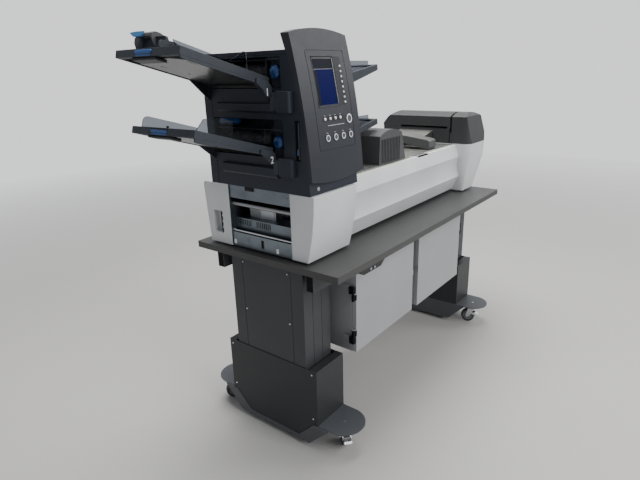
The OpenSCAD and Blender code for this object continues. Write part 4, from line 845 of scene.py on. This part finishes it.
class INSERTER_OT_base_window(Operator):
    """Make the clips, motor fins, fasteners, tie rod sleeve and grip strip of the end window"""

    bl_idname = "inserter.base_window"
    bl_label = "End window fittings"

    def execute(self, context):
        self.clips()
        self.motor()
        self.fasteners()
        self.tie_rod()
        self.grip()
        return {"FINISHED"}

    def clips(self):
        clips = Shape()
        for y, z in ((508, 25), (290, 24)):
            clips.block((30.0, y - 5, z - 9), (33.2, y + 5, z + 9), 1.0)
            clips.block((27.4, y - 3, z - 5), (30.4, y + 3, z), 0.8)
            clips.block((28.0, y - 3.5, z + 2.5), (30.4, y + 3.5, z + 7), 0.6)
        clips.done("panel_clips", "key_white")
        trim = Shape()
        trim.block((28.5, 394, 232), (33.4, 436, 246), 2.0)
        trim.block((26.8, 402, 236), (29.0, 428, 242), 0.8)
        trim.block((36.4, 359.5, 19.5), (38.0, 373.5, 52.5), 0.3)
        trim.done("window_trim", "black")

    def motor(self):
        """Fins and a screwed plate on the motor's end."""
        fins, pitch = 10, 5.5
        low, high = table_box("drive_motor")
        x = low.x
        motor = Shape()
        for k in range(fins):
            y = high.y - k * pitch
            motor.block((x - 3, y - 4, low.z + 3), (x + 1, y - 1.6, high.z - 2), 0.5)
        motor.block((x - 2.2, high.y - 126, low.z + 4), (x + 1, high.y - 64, high.z - 4), 1.2)
        for out in (120, 70):
            for z in (low.z + 9, high.z - 9):
                motor.screw(aim_frame(spot(x - 2.2, high.y - out, z), LEFT), 2.2, 1.2)
        motor.done("motor_fins", "alloy")

    def fasteners(self):
        """Screws of the window's sheets and collars of the roller's shaft."""
        fasteners = Shape()
        for y, z in ((236, 228), (508, 228), (236, 40), (440, 40)):
            fasteners.screw(aim_frame(spot(33.0, y, z), LEFT), 2.4, 1.4)
        centre = Vector(JOINTS["fold_roller_spin"]["pos_m"])
        for y, way in ((219.6, BACK), (520.4, FRONT)):
            centre.y = spot(0, y, 0).y
            fasteners.lathe([(5.2, 0), (7.6, 0), (7.6, 1.8), (5.2, 2.2)], aim_frame(centre, way), 24)
        fasteners.done("window_screws", "sheet")

    def tie_rod(self):
        length = 300.0
        near = [(3.4, 0.0), (5.0, 0.2), (5.0, 5.0), (3.9, 5.4)]
        far = [(r, length - h) for r, h in reversed(near)]
        sleeve = Shape(aim_frame(spot(41, 220, 68), BACK))
        sleeve.lathe(near + far, steps=24)
        sleeve.done("tie_rod_sleeve", "steel")

    def grip(self):
        strip = Shape()
        strip.block((40.0, 566, 50), (53.4, 592, 136), 2.0)
        strip.done("grip_strip", "black")
        lens = [(0, 1.2), (3.4, 1.2), (4.4, 0.2), (4.4, -0.4)]
        lamps = Shape()
        for z in (68, 92, 116):
            lamps.lathe(lens, aim_frame(spot(40.0, 579, z), LEFT), 20)
        lamps.done("grip_lamps", "mark")


class INSERTER_OT_tower_fittings(Operator):
    """Make the lock, lever, knob caps, feed tyres, mouth plates and tray brackets of the tower"""

    bl_idname = "inserter.tower_fittings"
    bl_label = "Tower fittings"

    def execute(self, context):
        self.lock()
        self.lever()
        for level, floor in (("upper", 590.0), ("lower", 366.0)):
            self.tyres(level, floor)
            self.mouth(level, floor)
            self.knob_cap(level)
        self.brackets()
        self.tab()
        return {"FINISHED"}

    def lock(self):
        lock = Shape(aim_frame(spot(73, 126.6, 267), FRONT))
        lock.lathe([(0, 1.0), (0.8, 1.0), (1.2, 2.2), (4.4, 2.2), (5.0, 1.4), (5.4, 0.8), (6.8, 0.6),
                    (7.2, -0.6)])
        lock.done("tower_lock", "alloy")

    def lever(self):
        lever = Shape()
        lever.block((31, 166, 366), (39, 172, 486), 1.6)
        lever.block((28, 168, 380), (33, 176, 402), 1.6)
        lever.done("feeder_lever", "hood")
        tip = Shape()
        tip.block((27.4, 169, 384), (31, 175, 396), 1.2)
        tip.done("lever_tip", "blue")

    def tyres(self, level, floor):
        tyres = Shape()
        for y in (352.0, 412.0, 472.0):
            tyres.lathe([(22.9, -13), (23.6, -12), (23.9, -9), (23.9, 9), (23.6, 12), (22.9, 13)],
                        aim_frame(spot(89, y, floor + 57), BACK), 40)
        tyres.done(f"feed_tyres_{level}", "tread", f"feed_roller_{level}")

    def mouth(self, level, floor):
        plates = Shape()
        ramp = [(30, floor + 3), (64, floor + 3), (64, floor + 14), (40, floor + 9)]
        plates.prism(ramp, (296, 560), 0.8)
        plates.block((29, 291, floor + 4), (36, 297, floor + 94), 1.2)
        for y in (306, 536):
            plates.block((70, y, floor + 84), (110, y + 18, floor + 96), 2.0)
        plates.done(f"mouth_plates_{level}", "black")
        bar = Shape()
        bar.rod((40, 296, floor + 90), (40, 562, floor + 90), 3.0)
        bar.block((28.2, 234, floor + 88), (30.2, 288, floor + 95), 0.8)
        bar.done(f"mouth_bar_{level}", "tower")

    def knob_cap(self, level):
        """Domed cap on a separator knob."""
        knob = f"separator_knob_{level}"
        cap = Shape(aim_frame(low_middle(knob, 0), LEFT))
        cap.lathe([(0, 7.0), (6.5, 6.5), (12, 4.9), (16.5, 2.6), (19, 0.6), (19.4, -0.6)])
        cap.done(f"knob_cap_{level}", "knob", knob, 60.0)

    def brackets(self):
        """Hooked arms that carry the left trays, and the blocks at their feet."""
        upper = [(-40, 626), (12, 612), (25, 596), (26.6, 556), (-2, 566), (-16, 588), (-44, 610)]
        lower = [(-40, 404), (12, 392), (25, 380), (26.6, 344), (2, 352), (-14, 372), (-44, 390)]
        brackets = Shape()
        for outline, foot, head in ((upper, 522, 578), (lower, 313, 362)):
            brackets.prism(outline, (268, 276.4), 1.6)
            brackets.block((12, 246.2, foot), (26, 270, head), 2.5)
        brackets.done("tray_brackets", "tray")

    def tab(self):
        tab = Shape()
        tab.prism([(12, 472), (34, 478), (34, 491.6), (20, 491.6), (10, 482)], (430, 520), 2.0)
        tab.done("mouth_tab", "knob")


class INSERTER_OT_control_face(Operator):
    """Make the display rim, the screen, the key caps and the marks of the control face"""

    bl_idname = "inserter.control_face"
    bl_label = "Control face"

    def execute(self, context):
        self.display()
        self.key_strip()
        self.small_keys()
        self.ring("start_key", START_KEY_AT, 16.0, "start_ring")
        x, z = MODE_KEYS_AT
        for i, step in enumerate(row(MODE_KEYS, MODE_PITCH), 1):
            self.ring(f"mode_key_{i}", (x + step, z), 11.5, f"mode_ring_{i}")
        self.marks()
        return {"FINISHED"}

    def display(self):
        """Rim, painted highlights on the well's right wall and over the screen, screen, and dark bands above
        and beside the screen.
        """
        outer, inner = (59.0, 81.0), (54.5, 77.0)
        at = face_frame(*DISPLAY_AT)
        rim = Shape(at)
        rim.slope(outer, inner, 0.3, -2.3)
        rim.slope(inner, (54.3, 76.8), -2.3, -3.2)
        rim.slope(outer, (59.2, 81.2), 0.3, -0.9)
        rim.done("display_rim", "strip")
        # Painted highlight: the lit right wall of the well, and a thin painted reflection over the screen
        edge = Shape(at)
        edge.block((51.4, -75, -3.1), (54.2, 75, -0.6), 0.5)
        edge.block((-51, 40.4, -3.1), (51, 41.4, -2.6), 0.2)
        edge.done("display_edge_highlight", "rim")
        screen = Shape(at)
        screen.block((-37, -74, -3.1), (50, 40, -2.7), 0.1)
        screen.done("display_screen", "screen")
        bands = Shape(at)
        bands.block((-53, 41.8, -3.1), (51, 75, -2.8), 0.1)
        bands.block((-53, -75, -3.1), (-37.4, 40, -2.8), 0.1)
        bands.done("display_header", "dim")

    def key_strip(self):
        """Flat strips that follow the face under the keys beside the display."""
        plates, pitch = 8, 19.6
        strip = Shape()
        for step in row(plates, pitch):
            at = face_frame(FASCIA_X + 67, DISPLAY_AT[1] + step)
            strip.block((-18.2, -10.1, -0.4), (18.2, 10.1, 0.3), at=at)
        strip.done("key_strip", "strip")

    def small_keys(self):
        soft = [(0, 3.0), (1.8, 2.8), (3.0, 2.2), (3.6, 1.3), (3.7, -0.4)]
        plain = [(0, 3.6), (2.6, 3.4), (4.2, 2.6), (5.1, 1.3), (5.2, -0.4)]
        caps = Shape()
        for step in row(SOFT_KEYS, SOFT_PITCH):
            caps.lathe(soft, face_frame(*SOFT_KEYS_AT) @ Matrix.Translation((0, step, 0)), 20)
        for step in row(ROUND_KEYS, ROUND_PITCH):
            caps.lathe(plain, face_frame(*ROUND_KEYS_AT) @ Matrix.Translation((step, 0, 0)), 24)
        caps.done("small_key_caps", "key_white")

    def ring(self, body, place, radius, name):
        profile = [(0.68, 1.1), (0.70, 2.4), (0.79, 3.3), (0.90, 3.1), (0.985, 2.1), (0.99, 0.6)]
        ring = Shape(face_frame(*place))
        ring.lathe([(radius * r, h) for r, h in profile], steps=40)
        ring.done(name, "silver", body)

    def marks(self):
        """A line under the round keys and a short dash over each key."""
        low, high = -0.3, 0.25
        marks = Shape()
        marks.block((-47, -0.6, low), (47, 0.6, high), at=face_frame(FASCIA_X + 11, 467))
        for x in row(ROUND_KEYS, ROUND_PITCH):
            marks.block((x - 3, 10.5, low), (x + 3, 11.5, high), at=face_frame(*ROUND_KEYS_AT))
        for step in row(MODE_KEYS, MODE_PITCH):
            at = face_frame(MODE_KEYS_AT[0] + step, MODE_KEYS_AT[1])
            marks.block((-5, 16.5, low), (5, 17.5, high), at=at)
        marks.done("key_marks", "mark")


class INSERTER_OT_tray_fittings(Operator):
    """Make the pans, ribs, rails, latches, stop details and numbers of the trays"""

    bl_idname = "inserter.tray_fittings"
    bl_label = "Tray fittings"

    def execute(self, context):
        for name in TRAYS:
            self.ribs(name)
        for level, drop, latch_top in (("upper", 24.0, 3.6), ("lower", 29.0, 0.6)):
            at = tray_frame(f"{level}_left")
            end = TRAYS[f"{level}_left"].length
            self.pan(level, at, end - 20)
            self.skirt(level, at, end, drop)
            self.latch(level, at, end, latch_top)
        self.stop()
        self.post()
        self.number("tray_number_upper", "1", (0, 266.4, 580))
        self.number("tray_number_lower", "2", (5, 266.4, 361))
        return {"FINISHED"}

    def ribs(self, name):
        """Low ribs on the floor, with a gap at the guide's slot."""
        count, margin = 9, 24
        far_end = 186 if name == "upper_left" else TRAYS[name].length - margin
        ribs = Shape(tray_frame(name))
        for k in range(count):
            y = TRAY_Y[0] + margin + k * (TRAY_Y[1] - TRAY_Y[0] - 2 * margin) / (count - 1)
            for start, end in ((12, 146), (164, far_end)):
                ribs.block((start, y - 1, -0.2), (end, y + 1, 0.25), 0.1)
        ribs.done(f"tray_ribs_{name}", "tray")

    def pan(self, level, at, end):
        """Rounded pan under a left tray, with black patches of painted shade at its slots and scoops."""
        outline = [(14, 291), (end - 62, 291), (end - 40, 318), (end - 22, 352), (end - 10, 392),
                   (end - 4, 430), (end - 6, 470), (end - 16, 508), (end - 34, 544), (end - 56, 571),
                   (14, 571)]
        pan = Shape(at @ SWAP_YZ)
        pan.prism(outline, (-14.5, -5.2), 3.0)
        pan.done(f"tray_pan_{level}", "tray_pan")
        # Black patches on the pan: painted shade of its slots and scoops
        slots = Shape(at)
        for x, y, long, wide in ((end - 84, 330, 34, 5), (end - 60, 430, 26, 8), (end - 110, 505, 22, 7),
                                 (end - 180, 372, 9, 9), (end - 190, 488, 9, 9), (70, 330, 60, 4)):
            slots.block((x, y, -14.75), (x + long, y + wide, -14.0), 0.3)
        slots.done(f"tray_pan_slot_shade_{level}", "black")

    def skirt(self, level, at, end, drop):
        """Deeper edge under the near rail of a left tray."""
        top = -15.8
        skirt = Shape(at)
        skirt.prism([(end - 3, top), (end - 5, 2 - drop), (end - 16, -drop), (64, -23), (44, top)],
                    (277.2, 283.0), 0.8)
        skirt.done(f"tray_skirt_{level}", "tray")

    def latch(self, level, at, end, top):
        """Pill-shaped pad, the black block that carries it and paints the shade of its pocket, its fixed lip
        and its housing.
        """
        low, half, middle = -8.6, 41.0, 445
        body = f"tray_latch_{level}"
        radius = (top - low) / 2
        tip = [(0, half), (radius * 0.5, half - 0.7), (radius * 0.86, half - 2.8), (radius, half - 6.5)]
        profile = [(r, -h) for r, h in tip] + [(r, h) for r, h in reversed(tip)]
        squash = Matrix.Diagonal((3.3 / radius, 1, 1, 1)) @ Matrix.Rotation(math.pi / 2, 4, "X")
        pill = Shape(at @ Matrix.Translation((end - 0.4, middle, (top + low) / 2)) @ squash)
        pill.lathe(profile, steps=32)
        pad = pill.done(f"latch_pad_{level}", "blue", body, 60.0)
        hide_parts(f"tray_latch_{level}")
        # Black carrier around the pad: painted shade of the pocket it sits in
        carrier = Shape(at)
        carrier.block((end - 8.6, middle - half, low), (end - 0.6, middle + half, 3.6), 0.8)
        carrier.done(f"latch_carrier_pocket_shade_{level}", "black", body)
        lip = Shape(at)
        lip.block((end - 2.0, middle - 36, -15.0), (end + 0.2, middle + 36, low - 0.8), 0.6, 3)
        lip.done(f"latch_lip_{level}", "blue")
        housing = Shape(at)
        housing.block((end - 44, 386, -25.0), (end - 4.5, 506, -15.6), 4.0, 3)
        housing.done(f"latch_housing_{level}", "black")

    def stop(self):
        """Flag, roll, cheek, arch and ribs of the paper stop."""
        at = tray_frame("upper_left")
        body = "paper_stop"
        flag = Shape(at @ SWAP_XY)
        flag.prism([(456, 56.8), (461, 50.0), (468, 43.6), (506, 43.2), (516, 48.0), (528, 56.4),
                    (492, 57.8)], (347.5, 352.5), 1.2)
        flag.done("stop_flag", "flag", body)
        roll = Shape(at)
        roll.rod((346, 468, 44.6), (346, 501, 44.6), 3.2, 20, 0.8)
        roll.done("stop_roll", "blue", body)
        cheek = Shape(at)
        cheek.prism([(318, 12), (340, 12), (347, 26), (347, 42), (334, 46), (318, 40)], (480, 508), 2.5)
        cheek.done("stop_cheek", "hood", body)
        over = [(262, 28), (272, 37), (287, 47.5), (304, 55.5), (318, 59), (330, 59.6), (340, 57.5),
                (346, 52), (347, 44)]
        under = [(344.5, 44), (343.5, 51), (338.6, 55.3), (330, 57.1), (318.6, 56.5), (305.4, 53),
                 (289, 45.2), (274, 34.6), (264.5, 26)]
        arch = Shape(at)
        arch.prism(over + under, (427, 470), 0.5)
        arch.prism(over + [(344, 34), (334, 20), (300, 10), (262, 10)], (424, 427), 0.6)
        arch.done("stop_arch", "hood", body)
        ribs = Shape(at)
        for y in (396, 418, 440, 462):
            ribs.prism([(250, 4), (302, 15), (323, 42), (329, 43.6), (329, 4)], (y, y + 2.4), 0.4)
        ribs.block((322, 384.2, 42.6), (334, 477.8, 46), 1.2)
        ribs.done("stop_ribs", "hood", body)

    def post(self):
        post = Shape(tray_frame("lower_left") @ Matrix.Translation((329, 414, 0)))
        post.lathe([(0, 14.5), (3.0, 14.2), (4.2, 13.0), (4.2, 10.5), (3.0, 9.0), (3.0, 3.0)], steps=20)
        post.done("tray_post", "black")

    def number(self, name, text, place):
        curve = bpy.data.curves.new(name, "FONT")
        curve.body = text
        curve.size = 33 * MM
        curve.offset = 0.3 * MM
        curve.extrude = 0.3 * MM
        curve.align_x = "CENTER"
        curve.align_y = "CENTER"
        holder = bpy.data.objects.new(name + "_text", curve)
        bpy.context.scene.collection.objects.link(holder)
        bpy.context.view_layer.update()
        mesh = bpy.data.meshes.new_from_object(holder)
        bpy.data.objects.remove(holder)
        bpy.data.curves.remove(curve)
        mesh.transform(Matrix.Translation(spot(*place)) @ Matrix.Rotation(math.pi / 2, 4, "X"))
        made = linked(name, mesh, FINISHES["mark"])
        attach(made, "carriage")


class INSERTER_OT_transport_fittings(Operator):
    """Make the bed's strips and trim, the arm's plate, the exit's seam, and painted shade in the finger
    notch, in the hood's grooves and along the exit's slot
    """

    bl_idname = "inserter.transport_fittings"
    bl_label = "Transport fittings"

    def execute(self, context):
        self.strips()
        self.panel_trim()
        self.arm_cover()
        self.finger_notch_shade()
        self.grooves()
        self.seam_and_slot_shadow()
        return {"FINISHED"}

    def strips(self):
        hatch = Shape()
        for x, y in (((330, 616), (214, 526)), ((1194, 1336), (214, 272)), ((1194, 1336), (284, 322))):
            hatch.block((x[0], y[0], 250.6), (x[1], y[1], 252.4), 0.6)
        hatch.done("deck_hatch", "hatch")
        edges = Shape()
        for x, y in ((852, 206), (310, 527)):
            edges.block((x, y, 250.8), (1336, y + 6, 255), 1.0)
        edges.done("deck_edges", "steel")

    def panel_trim(self):
        low, high, back = 247.6, 248.5, 204.0
        trim = Shape()
        for x in ((282, 913), (1022, 1338)):
            trim.block((x[0], 191.6, low), (x[1], back, high), 0.4)
        trim.block((912.6, 202.4, low), (1022.4, back, high), 0.3)
        trim.done("panel_trim", "trim")

    def arm_cover(self):
        cover = Shape(table_frame() @ SWAP_XY)
        cover.prism([(229, 292.4), (239.4, 299.0), (425, 322.4), (425, 324.2), (238.6, 300.8),
                     (227.6, 293.4)], (1104, 1174), 0.3)
        cover.done("arm_cover", "deck", "guide_arm")

    def finger_notch_shade(self):
        """Painted shade: a dark strip on the front panel's lip at the finger notch."""
        lip = [(188.2, 243.8), (189.4, 248.4), (202.2, 248.4), (202.2, 247.0), (193.2, 247.0), (193.2, 243.8)]
        liner = Shape(table_frame() @ SWAP_XY)
        liner.prism(lip, (915.4, 1019.6), 0.3)
        liner.done("finger_notch_shade", "void")

    def grooves(self):
        """Painted shade: dark strips between the ribs of the hood's front."""
        count, pitch = 12, 13.17
        low = table_box("envelope_hood")[0]
        front = low.y + 3.0
        foot = low.z + 3.0
        grooves = Shape()
        for k in range(count):
            x = low.x + 16.0 + (k + 0.5) * pitch
            grooves.block((x - 2.7, front - 0.4, foot), (x + 2.7, front + 0.4, foot + 102), 0.2)
        grooves.done("hood_groove_shade", "void")

    def seam_and_slot_shadow(self):
        """Dark seam, and a strip of painted shadow along the slot's lower edge, on the exit module's inner
        end.
        """
        seam_and_slot_shadow = Shape()
        seam_and_slot_shadow.block((1339.2, 224.8, 256), (1340.4, 228.2, 334), 0.2)
        # Painted shadow along the slot's lower edge
        seam_and_slot_shadow.block((1339.6, 243, 331.0), (1340.4, 517, 334.2), 0.2)
        seam_and_slot_shadow.done("exit_seam_and_slot_shadow", "void")


class INSERTER_OT_rear_fittings(Operator):
    """Make the inlet pins, the switch, the vents and the screws of the back"""

    bl_idname = "inserter.rear_fittings"
    bl_label = "Rear fittings"

    def execute(self, context):
        sizes = context.scene.inserter_sizes
        back = table_box("tower_shell")[1].y
        self.inlet()
        self.vents(back, sizes.vent_slots)
        self.screws(back, sizes.screw_radius)
        return {"FINISHED"}

    def inlet(self):
        pins = Shape()
        for x, z in ((384, 72), (395, 79), (406, 72)):
            pins.block((x - 1, 556, z - 3), (x + 1, 570, z + 3), 0.3)
        pins.done("inlet_pins", "steel")
        panel_lean = math.radians(25.6)
        seat = Matrix.Translation((454, 571.3, 74)) @ Matrix.Rotation(-panel_lean, 4, "X")
        switch = Shape(table_frame() @ seat)
        switch.block((-14, -1.5, -13), (14, 2.2, 13), 1.2)
        switch.prism([(-10, -9), (10, -9), (10, 9), (-10, 9)], (1.5, 5.2), 1.4)
        switch.done("mains_switch", "black")

    def vents(self, back, count):
        first, span = 60, 212
        vents = Shape()
        for k in range(count):
            x = first + k * span / (count - 1)
            for low, high in ((560, 660), (300, 380)):
                vents.block((x, back - 1.5, low), (x + 5, back + 0.25, high), 0.4)
        vents.done("tower_vents", "black")
        seam = Shape()
        seam.block((32, back - 1, 470), (300, back + 0.4, 472))
        seam.done("tower_back_seam", "black")

    def screws(self, back, radius):
        heads = Shape()
        for x in (44, 288):
            for z in (264, 452, 490, 694):
                heads.screw(aim_frame(spot(x, back, z), BACK), radius, 2.0)
        heads.done("tower_back_screws", "zinc")


class INSERTER_OT_studio(Operator):
    """Make the pale floor, the soft lights and the camera"""

    bl_idname = "inserter.studio"
    bl_label = "Studio"

    def execute(self, context):
        self.floor(context.scene.inserter_sizes.floor_size)
        self.sky(context)
        self.lights(context)
        self.camera(context)
        return {"FINISHED"}

    def floor(self, size):
        """Pale floor that fades away from the part."""
        bm = bmesh.new()
        bmesh.ops.create_grid(bm, x_segments=1, y_segments=1, size=size / 2)
        mesh = bpy.data.meshes.new("studio_floor")
        bm.to_mesh(mesh)
        bm.free()
        finish = Finish("floor_pale", (0.46, 0.45, 0.435), 0.6, gloss=0.2)
        reach = finish.node("ShaderNodeVectorMath", {"operation": "LENGTH"}, {0: finish.place()}, "Value")
        solid = Wire(finish, finish.shader.outputs["BSDF"])
        clear = finish.node("ShaderNodeBsdfTransparent")
        sockets = {0: finish.clamp(reach, *FLOOR_FADE), 1: solid, 2: clear}
        faded = finish.node("ShaderNodeMixShader", None, sockets)
        finish.plug(finish.tree.nodes["Material Output"].inputs["Surface"], faded)
        floor = linked("studio_floor", mesh, finish.material)

    def sky(self, context):
        world = bpy.data.worlds.new("studio_sky")
        world.use_nodes = True
        nodes = world.node_tree.nodes
        links = world.node_tree.links
        both = nodes.new("ShaderNodeMixShader")
        ray = nodes.new("ShaderNodeLightPath")
        links.new(ray.outputs["Is Camera Ray"], both.inputs["Fac"])
        plain = nodes["Background"]
        pale = nodes.new("ShaderNodeBackground")
        for socket, node, (colour, strength) in ((1, plain, SKY), (2, pale, BACKDROP)):
            node.inputs["Color"].default_value = colour
            node.inputs["Strength"].default_value = strength
            links.new(node.outputs["Background"], both.inputs[socket])
        links.new(both.outputs["Shader"], nodes["World Output"].inputs["Surface"])
        context.scene.world = world

    def lights(self, context):
        for name, place, size, power in LIGHTS:
            lamp = bpy.data.lights.new(name, "AREA")
            lamp.size = size
            lamp.energy = power
            holder = bpy.data.objects.new(name, lamp)
            holder.location = place
            holder.visible_transmission = False
            aim = LIGHT_TARGET - holder.location
            holder.rotation_euler = aim.to_track_quat("-Z", "Y").to_euler()
            context.scene.collection.objects.link(holder)

    def camera(self, context):
        data = bpy.data.cameras.new("photo_camera")
        data.sensor_width = 36.0
        data.lens = CAMERA_LENS
        data.clip_end = 200.0
        camera = bpy.data.objects.new("photo_camera", data)
        camera.location = CAMERA_PLACE
        camera.rotation_euler = [math.radians(angle) for angle in CAMERA_TURN]
        context.scene.collection.objects.link(camera)
        context.scene.camera = camera


class INSERTER_PT_panel(Panel):
    """Lists the steps that dress the inserter"""

    bl_label = "Folder inserter"
    bl_idname = "INSERTER_PT_panel"
    bl_space_type = "VIEW_3D"
    bl_region_type = "UI"
    bl_category = "Inserter"

    def draw(self, context):
        for step in STEPS:
            self.layout.operator(step.bl_idname)
        for group in (context.scene.inserter_colours, context.scene.inserter_sizes):
            for name in group.bl_rna.properties.keys():
                if name not in {"rna_type", "name"}:
                    self.layout.prop(group, name)


STEPS = (
    INSERTER_OT_finish_solids,
    INSERTER_OT_column_fittings,
    INSERTER_OT_cabinet_fittings,
    INSERTER_OT_caster_fittings,
    INSERTER_OT_lift_marks,
    INSERTER_OT_base_window,
    INSERTER_OT_tower_fittings,
    INSERTER_OT_control_face,
    INSERTER_OT_tray_fittings,
    INSERTER_OT_transport_fittings,
    INSERTER_OT_rear_fittings,
    INSERTER_OT_studio,
)
CLASSES = (InserterColours, InserterSizes, *STEPS, INSERTER_PT_panel)


def register():
    for cls in CLASSES:
        bpy.utils.register_class(cls)
    bpy.types.Scene.inserter_colours = PointerProperty(type=InserterColours)
    bpy.types.Scene.inserter_sizes = PointerProperty(type=InserterSizes)


def unregister():
    del bpy.types.Scene.inserter_sizes
    del bpy.types.Scene.inserter_colours
    for cls in reversed(CLASSES):
        bpy.utils.unregister_class(cls)


def main():
    register()
    bpy.ops.inserter.finish_solids()
    bpy.ops.inserter.column_fittings()
    bpy.ops.inserter.cabinet_fittings()
    bpy.ops.inserter.caster_fittings()
    bpy.ops.inserter.lift_marks()
    bpy.ops.inserter.base_window()
    bpy.ops.inserter.tower_fittings()
    bpy.ops.inserter.control_face()
    bpy.ops.inserter.tray_fittings()
    bpy.ops.inserter.transport_fittings()
    bpy.ops.inserter.rear_fittings()
    bpy.ops.inserter.studio()


if __name__ == "__main__":
    main()
